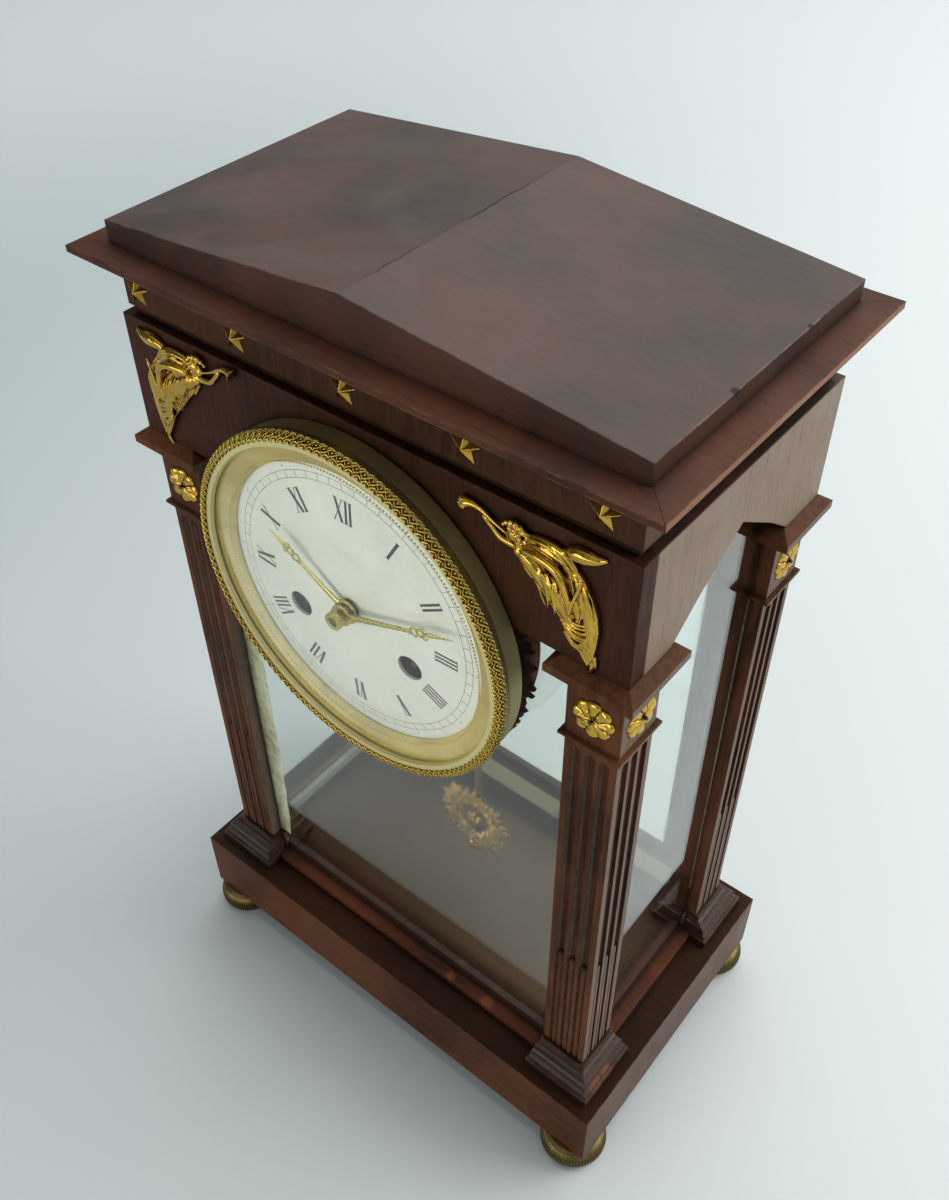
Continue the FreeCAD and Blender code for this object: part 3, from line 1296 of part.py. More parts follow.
def faceted(points, outer, inner, rise):
    """A rayed ornament: outline in the face of the clock, ridges meeting in a raised middle."""
    ring = []
    for k in range(points * 2):
        way = math.pi / 2 + math.pi * k / points
        ring.append(spot(outer if k % 2 == 0 else inner, way))
    top = Vector(0, -rise, 0)
    foot = Vector(0, 0, 0)
    faces = []
    for k in range(len(ring)):
        a = ring[k]
        b = ring[(k + 1) % len(ring)]
        for end in (top, foot):
            faces.append(Part.Face(Part.makePolygon([a, b, end, a])))
    return Part.makeSolid(Part.makeShell(faces))


def setAt(name, shape, where, turn=0):
    made = shape.copy()
    made.rotate(Vector(0, 0, 0), Z, turn)
    made.translate(Vector(*where))
    return shaped(name, made)


starShare = -0.065
starY = -friezeY.value + bandInset.value
starZ = zBand.value + bandHeight.value * 0.47
starSet = []
for k in range(5):
    where = (starPitch.value * (k - 2 + starShare), starY, starZ)
    starSet.append(setAt("Star%d" % k, faceted(5, starRadius.value, starRadius.value * 0.42,
                                                starRise.value), where))
keep("stars", group("Stars", starSet))

rosetteZ = zBlock.value + blockHeight.value * 0.42
faceX = postSpanX.value / 2
faceY = postSpanY.value / 2
midX = faceX - postWidth.value / 2
midY = faceY - postWidth.value / 2
rosetteForm = faceted(8, rosetteRadius.value * 0.85, rosetteRadius.value * 0.68, rosetteRise.value)
rosetteSet = []
for k, (where, turn) in enumerate((((-midX, -faceY, rosetteZ), 0), ((midX, -faceY, rosetteZ), 0),
                                   ((faceX, -midY, rosetteZ), 90), ((faceX, midY, rosetteZ), 90),
                                   ((-faceX, -midY, rosetteZ), -90), ((-faceX, midY, rosetteZ), -90))):
    rosetteSet.append(setAt("Rosette%d" % k, rosetteForm, where, turn))
keep("rosettes", group("Rosettes", rosetteSet))

# Two winged figures with trumpets, in low relief on the frieze either side of the dial
figureShares = ((0, 0.97), (0.04, 1), (0.11, 0.93), (0.2, 0.86), (0.26, 0.8), (0.31, 0.87), (0.37, 0.88),
                (0.42, 0.78), (0.52, 0.8), (0.68, 0.92), (0.86, 1), (1, 0.99), (0.95, 0.88),
                (0.82, 0.72), (0.68, 0.58), (0.73, 0.4), (0.84, 0.2), (1, 0.06), (0.99, 0),
                (0.88, 0.01), (0.77, 0.1), (0.62, 0.28), (0.5, 0.45), (0.42, 0.55), (0.35, 0.62),
                (0.27, 0.7), (0.18, 0.76), (0.1, 0.84), (0.02, 0.92))
bodyShares = ((0.29, 0.8), (0.32, 0.86), (0.37, 0.86), (0.4, 0.76), (0.5, 0.7), (0.6, 0.56), (0.66, 0.4),
              (0.76, 0.2), (0.87, 0.07), (0.78, 0.14), (0.64, 0.3), (0.52, 0.46), (0.43, 0.57),
              (0.36, 0.66))
figureFoot = zFrieze.value + figureFootRise.value


def relief(shares, way, high, low):
    ring = []
    for u, v in shares:
        ring.append(Vector(way * (figureInset.value + figureWidth.value * u), 0,
                           figureFoot + figureHeight.value * v))
    return solidOf([Part.makePolygon(ring + ring[:1])], high, low)


figures = []
for tag, way in (("Right", 1), ("Left", -1)):
    ground = -friezeY.value
    flat = relief(figureShares, way, ground - figureRise.value * 0.5, ground)
    raised = relief(bodyShares, way, ground - figureRise.value, ground - figureRise.value * 0.4)
    figures.append(shaped("Victory" + tag, flat.fuse(raised)))
keep("victories", group("Victories", figures))

friezeSides = [pieces.pop("frieze_right"), pieces.pop("frieze_left"), pieces.pop("frieze_rear")]
headRail = block("HeadRail", (-legX + abacusProud, innerY, doorHigh + doorClear),
                 (legX - abacusProud, innerY + postBoard, zFrieze))
keep("frieze_boards", group("FriezeBoards", friezeSides + [headRail]))
keep("side_glasses", group("SideGlasses", [pieces.pop("right_glass"), pieces.pop("left_glass")]))

doc.recompute()
for item in doc.Objects:
    if "Invalid" in item.State or "Error" in item.State:
        raise RuntimeError("failed: " + item.Label)
for node, thing in pieces.items():
    if thing.Shape.isNull() or not thing.Shape.isValid() or not thing.Shape.Solids:
        raise RuntimeError("not sound: " + node)
os.makedirs("parts", exist_ok=True)
for node, thing in pieces.items():
    thing.Shape.exportStep("parts/" + node + ".step")
    print(node, len(thing.Shape.Solids))
print(len(pieces), "pieces")
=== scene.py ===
import math
import bmesh
import bpy
from mathutils import Matrix, Vector, noise
from mathutils.bvhtree import BVHTree


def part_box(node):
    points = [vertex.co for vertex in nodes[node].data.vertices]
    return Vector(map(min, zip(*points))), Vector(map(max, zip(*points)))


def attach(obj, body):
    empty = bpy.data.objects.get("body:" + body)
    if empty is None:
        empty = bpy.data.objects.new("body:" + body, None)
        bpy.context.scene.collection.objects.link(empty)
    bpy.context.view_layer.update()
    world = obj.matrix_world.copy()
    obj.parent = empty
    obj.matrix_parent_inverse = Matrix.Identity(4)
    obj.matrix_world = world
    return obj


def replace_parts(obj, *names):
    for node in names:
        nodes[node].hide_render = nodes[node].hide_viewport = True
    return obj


# Four glass clock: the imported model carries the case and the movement, and this script
# dresses it with finishes, the dial's figures, the gilt mounts, the light and the camera.
# Lengths are in metres; values in the dictionaries are in millimetres unless they say so.

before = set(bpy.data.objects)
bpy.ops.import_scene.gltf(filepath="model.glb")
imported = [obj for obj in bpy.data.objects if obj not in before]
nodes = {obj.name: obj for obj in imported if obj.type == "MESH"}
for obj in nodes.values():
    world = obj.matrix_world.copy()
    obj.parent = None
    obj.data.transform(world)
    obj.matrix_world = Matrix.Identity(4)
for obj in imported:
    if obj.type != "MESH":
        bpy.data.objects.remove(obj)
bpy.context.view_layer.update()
print("frame loaded,", len(nodes), "nodes")

mm = 0.001
dialLow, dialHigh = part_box("enamel_dial")
dialX = (dialLow.x + dialHigh.x) / 2
dialZ = (dialLow.z + dialHigh.z) / 2
dialCentre = Vector((dialX, 0.0, dialZ))


# Small tools for node trees
def fillIn(tree, node, inputs):
    for key, value in inputs.items():
        socket = node.inputs[key]
        if isinstance(value, bpy.types.NodeSocket):
            tree.links.new(value, socket)
        else:
            socket.default_value = value


def addNode(tree, kind, settings=None, inputs=None):
    node = tree.nodes.new(kind)
    node.location = (180 * (len(tree.nodes) % 9), -220 * (len(tree.nodes) // 9))
    for key, value in (settings or {}).items():
        setattr(node, key, value)
    fillIn(tree, node, inputs or {})
    return node


def math2(tree, operation, a, b=0.0, c=0.5, clamp=False):
    return addNode(tree, "ShaderNodeMath", {"operation": operation, "use_clamp": clamp},
                   {0: a, 1: b, 2: c}).outputs[0]


def times(tree, a, b):
    return math2(tree, "MULTIPLY", a, b)


def either(tree, first, second):
    return second if first is None else math2(tree, "MAXIMUM", first, second)


def vector2(tree, operation, *values):
    node = addNode(tree, "ShaderNodeVectorMath", {"operation": operation}, dict(enumerate(values)))
    return node.outputs["Value" if operation in ("DOT_PRODUCT", "LENGTH", "DISTANCE") else "Vector"]


def mixTone(tree, amount, a, b):
    return addNode(tree, "ShaderNodeMix", {"data_type": "RGBA"}, {0: amount, 6: a, 7: b}).outputs[2]


def tone(red, green, blue):
    # a tone written as the screen shows it, turned to scene linear
    return tuple(((c / 255 + 0.055) / 1.055) ** 2.4 if c > 10 else c / 255 / 12.92
                 for c in (red, green, blue)) + (1.0,)


def laid(tree, base, mask, share, colour):
    return mixTone(tree, times(tree, mask, share), base, tone(*colour))


def spread(tree, value, low, high, toLow=0.0, toHigh=1.0):
    return addNode(tree, "ShaderNodeMapRange", {"interpolation_type": "SMOOTHSTEP"},
                   {0: value, 1: low, 2: high, 3: toLow, 4: toHigh}).outputs[0]


def objectSpot(tree):
    return addNode(tree, "ShaderNodeTexCoord").outputs["Object"]


def partsOf(tree, vector):
    return addNode(tree, "ShaderNodeSeparateXYZ", None, {0: vector}).outputs


def mottle(tree, vector, scale, detail=2.0, roughness=0.5, distortion=0.0):
    return addNode(tree, "ShaderNodeTexNoise", None,
                   {"Vector": vector, "Scale": scale, "Detail": detail, "Roughness": roughness,
                    "Distortion": distortion}).outputs[0]


def alongNoise(tree, along, scale, detail, roughness=0.5):
    return addNode(tree, "ShaderNodeTexNoise", {"noise_dimensions": "1D"},
                   {"W": along, "Scale": scale, "Detail": detail, "Roughness": roughness}).outputs[0]


def bumped(tree, strength, distance, height, normal):
    return addNode(tree, "ShaderNodeBump", None, {"Strength": strength, "Distance": distance,
                                                  "Height": height, "Normal": normal}).outputs[0]


def newGroup(name, inputs, outputs):
    # inputs give a number's or a vector's default; the outputs are masks and a normal
    group = bpy.data.node_groups.new(name, "ShaderNodeTree")
    for label, value in inputs.items():
        kind = "NodeSocketFloat" if isinstance(value, float) else "NodeSocketVector"
        group.interface.new_socket(name=label, in_out="INPUT", socket_type=kind).default_value = value
    for label in outputs:
        kind = "NodeSocketVector" if label == "Normal" else "NodeSocketFloat"
        group.interface.new_socket(name=label, in_out="OUTPUT", socket_type=kind)
    return group, group.nodes.new("NodeGroupInput").outputs, group.nodes.new("NodeGroupOutput")


def useGroup(tree, group, inputs):
    return addNode(tree, "ShaderNodeGroup", {"node_tree": group}, inputs).outputs


def woodFigureGroup():
    # long streaks, fine dark pores and slow cloudy changes of tone, along the vector's Z
    group, given, out = newGroup("woodFigure", {"Vector": (0.0, 0.0, 0.0), "Streak": 520.0, "Pore": 1500.0},
                                 ("Figure", "Pores", "Cloud"))
    drawn = vector2(group, "MULTIPLY", given["Vector"], (1.0, 1.0, 0.035))
    wavy = addNode(group, "ShaderNodeTexNoise", None, {"Vector": given["Vector"], "Scale": 14.0, "Detail": 2.0})
    bent = vector2(group, "MULTIPLY_ADD", wavy.outputs["Color"], (0.012, 0.012, 0.0), drawn)
    fillIn(group, out, {
        "Figure": spread(group, mottle(group, bent, given["Streak"], 5.0, 0.62), 0.26, 0.78),
        "Pores": spread(group, mottle(group, bent, given["Pore"]), 0.6, 0.72),
        "Cloud": spread(group, mottle(group, given["Vector"], 17.0, 4.0, 0.55), 0.33, 0.68)})
    return group


def edgeWearGroup():
    # rubbed outer edges and filled corners, from the bevelled normal against the true one
    group, given, out = newGroup("edgeWear", {"Reach": 0.0008, "Broken": 90.0}, ("Rubbed", "Normal"))
    soft = addNode(group, "ShaderNodeBevel", {"samples": 4}, {"Radius": given["Reach"]}).outputs[0]
    true = addNode(group, "ShaderNodeNewGeometry").outputs["True Normal"]
    edge = spread(group, vector2(group, "DOT_PRODUCT", soft, true), 0.995, 0.86)
    patchy = mottle(group, objectSpot(group), given["Broken"], 5.0, 0.7)
    fillIn(group, out, {"Rubbed": times(group, edge, spread(group, patchy, 0.4, 0.62)), "Normal": soft})
    return group


def grimeAndShadeGroup():
    # dirt and old polish kept in corners, with painted shade: the occlusion mask darkens hollows and corners where
    # shade falls
    group, given, out = newGroup("cornerGrimeAndShade", {"Reach": 0.004, "Amount": 1.0}, ("GrimeAndShade",))
    hollow = addNode(group, "ShaderNodeAmbientOcclusion", {"samples": 6}, {"Distance": given["Reach"]})
    shade = spread(group, hollow.outputs["AO"], 0.92, 0.42)
    uneven = spread(group, mottle(group, objectSpot(group), 260.0, 4.0), 0.3, 0.62, 0.55, 1.0)
    kept = math2(group, "MULTIPLY", shade, times(group, uneven, given["Amount"]), clamp=True)
    fillIn(group, out, {"GrimeAndShade": kept})
    return group


def smudgeGroup():
    # hand marks and wiping: a broad mask and a fine one
    group, given, out = newGroup("smudge", {"Scale": 40.0}, ("Broad", "Fine"))
    place = objectSpot(group)
    broad = mottle(group, place, given["Scale"], 5.0, 0.6, 1.1)
    fine = mottle(group, place, times(group, given["Scale"], 16.0), 3.0, 0.6)
    fillIn(group, out, {"Broad": spread(group, broad, 0.35, 0.7), "Fine": spread(group, fine, 0.4, 0.72)})
    return group


def latheGroup():
    # fine rings and rays about a turned piece's own axis, for brushed and engine turned metal
    group, given, out = newGroup("turnedLines", {"Centre": (0.0, 0.0, 0.0), "Rings": 9000.0, "Rays": 360.0},
                                 ("Ring", "Ray"))
    off = vector2(group, "SUBTRACT", objectSpot(group), given["Centre"])
    radius = vector2(group, "LENGTH", vector2(group, "MULTIPLY", off, (1.0, 0.0, 1.0)))
    parts = partsOf(group, off)
    angle = math2(group, "ARCTAN2", parts["X"], parts["Z"])
    for label, along, count in (("Ring", radius, "Rings"), ("Ray", angle, "Rays")):
        wave = math2(group, "SINE", times(group, along, given[count]))
        fillIn(group, out, {label: spread(group, wave, -1.0, 1.0)})
    return group


woodFigure = woodFigureGroup()
edgeWear = edgeWearGroup()
cornerGrimeAndShade = grimeAndShadeGroup()
smudge = smudgeGroup()
turnedLines = latheGroup()
print("node groups built")


def newMaterial(name):
    material = bpy.data.materials.new(name)
    material.use_nodes = True
    tree = material.node_tree
    tree.nodes.clear()
    shader = tree.nodes.new("ShaderNodeBsdfPrincipled")
    target = tree.nodes.new("ShaderNodeOutputMaterial")
    target.location = (400, 300)
    shader.location = (100, 300)
    tree.links.new(shader.outputs[0], target.inputs["Surface"])
    return material, tree, shader


def nearAxes(tree, axes, reach):
    # a mask that is one within reach of any of the axes that run along Y, given in mm from the dial
    flat = vector2(tree, "MULTIPLY", objectSpot(tree), (1.0, 0.0, 1.0))
    nearest = None
    for x, z in axes:
        away = vector2(tree, "DISTANCE", flat, (dialX + x * mm, 0.0, dialZ + z * mm))
        nearest = away if nearest is None else math2(tree, "MINIMUM", nearest, away)
    return spread(tree, nearest, reach * mm * 1.04, reach * mm * 0.98)


def patches(tree, spots):
    # soft ragged patches: (x, y, z, radius) in millimetres, at fixed places of the case
    place = objectSpot(tree)
    ragged = mottle(tree, place, 230.0, 5.0, 0.7)
    mask = None
    for x, y, z, radius in spots:
        away = vector2(tree, "DISTANCE", place, (x * mm, y * mm, z * mm))
        uneven = math2(tree, "MULTIPLY_ADD", ragged, radius * mm * 1.3, -radius * mm * 0.65)
        mask = either(tree, mask, spread(tree, math2(tree, "ADD", away, uneven), radius * mm, radius * mm * 0.55))
    return mask


# Finishes: tones are written as a screen shows them, and lengths are in metres here, apart from
# those of worn, chips, arborReach and paleReach
def mahogany(name, along, settings):
    # along: the grain's direction, "x" or "z"
    use = {"dark": (40, 25, 18), "mid": (60, 38, 27), "light": (80, 51, 36), "rub": (122, 84, 56),
           "wear": 0.5, "grimeAndShade": 0.9, "rough": 0.42, "gloss": 0.12, "side": 0.0, "sideFadeAndSheenTone": (112, 96, 83),
           "top": 0.0, "topShadeTone": (26, 16, 10), "dustAndSheen": 0.0, "worn": (), "chips": (), "crack": None,
           "crackRun": ((-0.052, -0.04), (0.05, 0.03)), "mitre": None, "rear": None, "rearFace": (0.0505, 0.0524),
           "within": None, "floorY": (0.044, 0.034), "floorX": (0.096, 0.088), "floorDustAndReflection": (-0.09, 0.05)}
    use.update(settings)
    material, tree, shader = newMaterial(name)
    place = objectSpot(tree)
    spot = partsOf(tree, place)
    sides = partsOf(tree, addNode(tree, "ShaderNodeNewGeometry").outputs["Normal"])
    farX, farY = (math2(tree, "ABSOLUTE", spot[key]) for key in ("X", "Y"))
    turn = (0, math.radians(90), 0) if along == "x" else (0, 0, 0)
    turned = addNode(tree, "ShaderNodeMapping", None, {"Vector": place, "Rotation": turn})
    figure = useGroup(tree, woodFigure, {"Vector": turned.outputs[0]})
    edges = useGroup(tree, edgeWear, {"Reach": 0.0009})
    grimeAndShade = useGroup(tree, cornerGrimeAndShade, {"Amount": use["grimeAndShade"]})["GrimeAndShade"]
    base = mixTone(tree, figure["Figure"], tone(*use["mid"]), tone(*use["dark"]))
    base = laid(tree, base, figure["Cloud"], 0.55, use["light"])
    if use["side"]:
        # the right side is paler: partly faded by the window, partly painted sheen and light from the window on faces
        # turned to the right
        pale = laid(tree, tone(*use["sideFadeAndSheenTone"]), figure["Figure"], 0.3, [c * 0.72 for c in use["sideFadeAndSheenTone"]])
        base = mixTone(tree, times(tree, spread(tree, sides["X"], 0.5, 0.9), use["side"]), base, pale)
    if use["top"]:
        # painted shade: faces that look up are darkened
        base = laid(tree, base, spread(tree, sides["Z"], 0.7, 0.95), use["top"], use["topShadeTone"])
    if use["within"]:
        # warm dust on the floor inside the glass, more of it to the right, partly painted reflection and window light
        kept = times(tree, spread(tree, farY, *use["floorY"]), spread(tree, farX, *use["floorX"]))
        base = laid(tree, base, kept, spread(tree, spot["X"], *use["floorDustAndReflection"], 0.35, 1.0), use["within"])
    if use["rear"]:
        # old putty smeared over the inner face of the rear sill
        low, high = use["rearFace"]
        face = times(tree, math2(tree, "GREATER_THAN", spot["Y"], low), math2(tree, "LESS_THAN", spot["Y"], high))
        base = laid(tree, base, face, spread(tree, figure["Cloud"], 0.0, 0.35, 0.35, 0.85), use["rear"])
    if use["worn"]:
        base = laid(tree, base, patches(tree, use["worn"]), 0.8, (116, 68, 36))
    base = laid(tree, base, figure["Pores"], 0.5, (20, 11, 8))
    base = laid(tree, base, edges["Rubbed"], use["wear"], use["rub"])
    # painted shade, with real grime: hollows and corners darkened by the occlusion mask
    base = laid(tree, base, grimeAndShade, 0.8, (17, 10, 8))
    marks = useGroup(tree, smudge, {"Scale": 26.0})["Broad"]
    if use["dustAndSheen"]:
        # partly real dust, partly painted sheen: a pale grey film on faces that look up stands for the room's
        # reflection on them
        dustAndSheenFilm = spread(tree, marks, 0.0, 1.0, use["dustAndSheen"] * 0.65, use["dustAndSheen"])
        base = laid(tree, base, spread(tree, sides["Z"], 0.75, 0.97), dustAndSheenFilm, (120, 121, 120))
    lines = None
    if use["crack"]:
        # an old shake along the ridge of the roof, open in the middle of its run
        wander = math2(tree, "MULTIPLY_ADD", alongNoise(tree, spot["Y"], 55.0, 6.0, 0.7), 0.006, use["crack"])
        off = math2(tree, "ABSOLUTE", math2(tree, "SUBTRACT", spot["X"], wander))
        wide = spread(tree, alongNoise(tree, spot["Y"], 31.0, 3.0), 0.36, 0.66, 0.00008, 0.00042)
        begins, ends = (spread(tree, spot["Y"], *part) for part in use["crackRun"])
        lines = times(tree, math2(tree, "LESS_THAN", off, wide), times(tree, begins, ends))
    if use["mitre"]:
        # open mitres on the corners of the mouldings
        level = math2(tree, "SUBTRACT", farX, farY)
        off = math2(tree, "ABSOLUTE", math2(tree, "SUBTRACT", level, use["mitre"]))
        lines = either(tree, lines, spread(tree, off, 0.0003, 0.00012))
    if use["chips"]:
        lines = either(tree, lines, patches(tree, use["chips"]))
    height = math2(tree, "SUBTRACT", times(tree, figure["Figure"], 0.3), figure["Pores"])
    if lines is not None:
        base = laid(tree, base, lines, 0.92, (14, 9, 7))
        height = math2(tree, "SUBTRACT", height, times(tree, lines, 6.0))
    rough = math2(tree, "MULTIPLY_ADD", marks, 0.14, use["rough"])
    fillIn(tree, shader, {"Base Color": base, "Roughness": math2(tree, "ADD", rough, times(tree, grimeAndShade, 0.25)),
                          "Normal": bumped(tree, 0.12, 0.0002, height, edges["Normal"]),
                          "Specular IOR Level": use["gloss"]})
    return material


def metal(name, settings):
    use = {"tone": (184, 148, 66), "deep": (52, 37, 12), "bright": (238, 208, 122), "rough": 0.26,
           "grimeAndShade": 1.0, "reach": 0.0016, "wear": 0.6, "bump": 0.05, "grain": 900.0, "arbors": (),
           "arborReach": 2.3, "patina": 0.35, "pale": None, "paleReach": 69.0}
    use.update(settings)
    material, tree, shader = newMaterial(name)
    edges = useGroup(tree, edgeWear, {"Reach": 0.00035, "Broken": 220.0})
    grimeAndShade = useGroup(tree, cornerGrimeAndShade, {"Reach": use["reach"], "Amount": use["grimeAndShade"]})
    marks = useGroup(tree, smudge, {"Scale": 70.0})
    base = laid(tree, tone(*use["tone"]), marks["Broad"], use["patina"], use["deep"])
    base = laid(tree, base, edges["Rubbed"], use["wear"], use["bright"])
    if use["arbors"]:
        base = mixTone(tree, nearAxes(tree, use["arbors"], use["arborReach"]), base, tone(84, 84, 82))
    # painted shade, with real grime: hollows darkened to the deep tone by the occlusion mask
    base = mixTone(tree, grimeAndShade["GrimeAndShade"], base, tone(*use["deep"]))
    rough = math2(tree, "MULTIPLY_ADD", marks["Fine"], 0.14, use["rough"])
    if use["pale"]:
        # the slope inside the band is dull and pale, the wall outside it polished
        inside = nearAxes(tree, ((0, 0),), use["paleReach"])
        base = mixTone(tree, inside, base, tone(*use["pale"]))
        rough = math2(tree, "ADD", rough, times(tree, inside, 0.3))
    grain = mottle(tree, objectSpot(tree), use["grain"], 4.0)
    fillIn(tree, shader, {"Base Color": base, "Roughness": rough, "Metallic": 1.0,
                          "Normal": bumped(tree, use["bump"], 0.0002, grain, edges["Normal"])})
    return material


def turnedMetal(name, settings):
    use = {"tone": (200, 165, 95), "deep": (120, 90, 45), "rough": 0.3, "rays": 0.0, "rings": 1.0,
           "rayCount": 260.0, "ringCount": 9000.0, "bump": 0.25}
    use.update(settings)
    material, tree, shader = newMaterial(name)
    lines = useGroup(tree, turnedLines, {"Centre": dialCentre, "Rings": use["ringCount"], "Rays": use["rayCount"]})
    marks = useGroup(tree, smudge, {"Scale": 45.0})
    edges = useGroup(tree, edgeWear, {"Reach": 0.0004})
    cut = math2(tree, "ADD", times(tree, lines["Ring"], use["rings"]), times(tree, lines["Ray"], use["rays"]))
    base = laid(tree, tone(*use["tone"]), marks["Broad"], 0.5, use["deep"])
    fillIn(tree, shader, {"Base Color": laid(tree, base, cut, 0.18, use["deep"]), "Metallic": 1.0,
                          "Roughness": math2(tree, "MULTIPLY_ADD", marks["Fine"], 0.15, use["rough"]),
                          "Normal": bumped(tree, use["bump"], 0.00015, cut, edges["Normal"])})
    return material


def pane(name, tint, rough):
    material, tree, shader = newMaterial(name)
    marks = useGroup(tree, smudge, {"Scale": 18.0})
    path = addNode(tree, "ShaderNodeLightPath")
    fillIn(tree, shader, {"Base Color": tint, "Transmission Weight": 1.0, "IOR": 1.47,
                          "Roughness": math2(tree, "MULTIPLY_ADD", marks["Broad"], 0.05, rough),
                          "Alpha": math2(tree, "MULTIPLY_ADD", path.outputs["Is Shadow Ray"], -0.93, 1.0)})
    return material


def plainFinish(name, first, second, settings):
    use = {"rough": 0.6, "scale": 60.0, "bump": 0.1, "coat": 0.0, "grimeAndShade": 0.0, "sills": None}
    use.update(settings)
    material, tree, shader = newMaterial(name)
    marks = useGroup(tree, smudge, {"Scale": use["scale"]})
    base = mixTone(tree, marks["Broad"], tone(*first), tone(*second))
    if use["grimeAndShade"]:
        kept = useGroup(tree, cornerGrimeAndShade, {"Amount": use["grimeAndShade"]})
        # painted shade, with real grime: hollows darkened to the second tone by the occlusion mask
        base = mixTone(tree, kept["GrimeAndShade"], base, tone(*second))
    if use["sills"]:
        # the beads along the front and right sills are stained like the wood, the left one is dull
        sills = use["sills"]
        spot = partsOf(tree, objectSpot(tree))
        low = math2(tree, "LESS_THAN", spot["Z"], sills["top"])
        sill = math2(tree, "MAXIMUM", math2(tree, "LESS_THAN", spot["Y"], sills["front"]),
                     math2(tree, "GREATER_THAN", spot["X"], sills["side"]))
        dull = times(tree, low, math2(tree, "LESS_THAN", spot["X"], -sills["side"]))
        base = laid(tree, base, dull, 0.7, (104, 108, 98))
        stain = mixTone(tree, marks["Broad"], tone(58, 38, 26), tone(40, 26, 19))
        base = mixTone(tree, times(tree, sill, low), base, stain)
    edges = useGroup(tree, edgeWear, {"Reach": 0.0003})
    fillIn(tree, shader, {"Base Color": base, "Coat Weight": use["coat"],
                          "Roughness": math2(tree, "MULTIPLY_ADD", marks["Fine"], 0.12, use["rough"]),
                          "Normal": bumped(tree, use["bump"], 0.0004, marks["Fine"], edges["Normal"])})
    return material


arborPlaces = ((0, 0), (26, -13.5), (-26, -13.5), (3.1, -16.5), (4.7, 14.9), (0, 27.2), (0, 45), (-15.2, 6.9),
               (-20, 23), (-24, 35.6), (-38, 18))
woodFrieze = mahogany("mahoganyFrieze", "z", {
    "dark": (40, 23, 15), "mid": (62, 36, 23), "light": (78, 46, 29), "gloss": 0.07})
woodFront = mahogany("mahoganyFront", "z", {"side": 0.85})
woodPosts = mahogany("mahoganyPosts", "z", {
    "dark": (40, 25, 17), "mid": (88, 55, 37), "light": (120, 74, 48), "side": 0.7, "gloss": 0.04,
    "grimeAndShade": 1.2, "sideFadeAndSheenTone": (134, 120, 108)})
woodBases = mahogany("mahoganyBases", "x", {
    "dark": (30, 19, 13), "mid": (48, 31, 21), "light": (72, 45, 29), "rub": (150, 112, 74), "gloss": 0.25,
    "rough": 0.26, "side": 0.35, "sideFadeAndSheenTone": (96, 70, 50), "worn": ((113, -57, 54, 5), (113, -49, 53, 5))})
woodSide = mahogany("mahoganySide", "z", {
    "side": 0.95, "sideFadeAndSheenTone": (140, 119, 99), "gloss": 0.3, "worn": ((108, -30, 309, 4), (108, 12, 309, 3))})
woodRoof = mahogany("mahoganyRoof", "x", {
    "dark": (42, 28, 21), "mid": (58, 38, 28), "light": (96, 60, 42), "gloss": 0.2, "rough": 0.44,
    "dustAndSheen": 0.24, "wear": 0.8, "rub": (150, 130, 108), "crack": -0.0035,
    "chips": ((107, -18.5, 391, 2.2), (107, 24, 391, 1.4))})
woodCornice = mahogany("mahoganyCornice", "x", {
    "dark": (36, 20, 13), "mid": (60, 34, 22), "light": (106, 58, 35), "side": 0.75,
    "sideFadeAndSheenTone": (158, 108, 78), "gloss": 0.14, "dustAndSheen": 0.03, "mitre": 0.0486, "wear": 0.8,
    "rub": (150, 106, 72)})
woodBand = mahogany("mahoganyBand", "z", {
    "dark": (38, 23, 14), "mid": (64, 41, 26), "light": (84, 52, 32), "gloss": 0.06, "side": 0.6,
    "sideFadeAndSheenTone": (104, 88, 74)})
woodPlinth = mahogany("mahoganyPlinth", "x", {
    "dark": (46, 27, 17), "mid": (80, 49, 30), "light": (114, 68, 41), "side": 0.7,
    "sideFadeAndSheenTone": (112, 96, 86), "gloss": 0.06, "wear": 0.8, "rub": (140, 100, 66), "top": 0.75,
    "within": (96, 76, 58)})
woodSills = mahogany("mahoganySills", "x", {
    "dark": (40, 23, 15), "mid": (74, 40, 25), "light": (118, 60, 34),
    "worn": ((52, -56, 53, 4), (30, -56, 53, 3)), "rear": (164, 160, 128)})
drumWood = mahogany("drumWood", "x", {
    "dark": (46, 22, 15), "mid": (84, 44, 30), "light": (118, 66, 44), "rough": 0.6, "gloss": 0.1})
puttyCrust = plainFinish("driedPutty", (84, 34, 24), (34, 14, 11), {"rough": 0.85, "scale": 300.0, "bump": 0.9})
glassPane = pane("oldPane", tone(246, 252, 249), 0.01)
glassDome = pane("domedGlass", tone(250, 252, 250), 0.005)
creamPutty = plainFinish("creamBead", (168, 164, 132), (120, 114, 86), {
    "rough": 0.7, "scale": 160.0, "grimeAndShade": 0.5, "sills": {"top": 0.062, "front": -0.046, "side": 0.09}})
stripPutty = plainFinish("creamStrip", (208, 206, 172), (156, 148, 112), {"rough": 0.75, "scale": 90.0, "bump": 0.5})
giltMount = metal("giltMount", {
    "tone": (214, 172, 70), "deep": (46, 30, 8), "rough": 0.16, "grimeAndShade": 1.3, "reach": 0.0011,
    "patina": 0.2, "bump": 0.02})
giltBezel = metal("giltBezel", {
    "tone": (216, 182, 82), "reach": 0.0009, "rough": 0.18, "grimeAndShade": 1.3, "patina": 0.15, "bump": 0.0})
giltBob = metal("giltBob", {
    "tone": (204, 164, 92), "deep": (74, 58, 26), "rough": 0.36, "patina": 0.7, "grimeAndShade": 1.4})
bandGround = metal("bandGround", {"tone": (112, 88, 34), "deep": (44, 30, 10), "rough": 0.4, "grimeAndShade": 0.8})
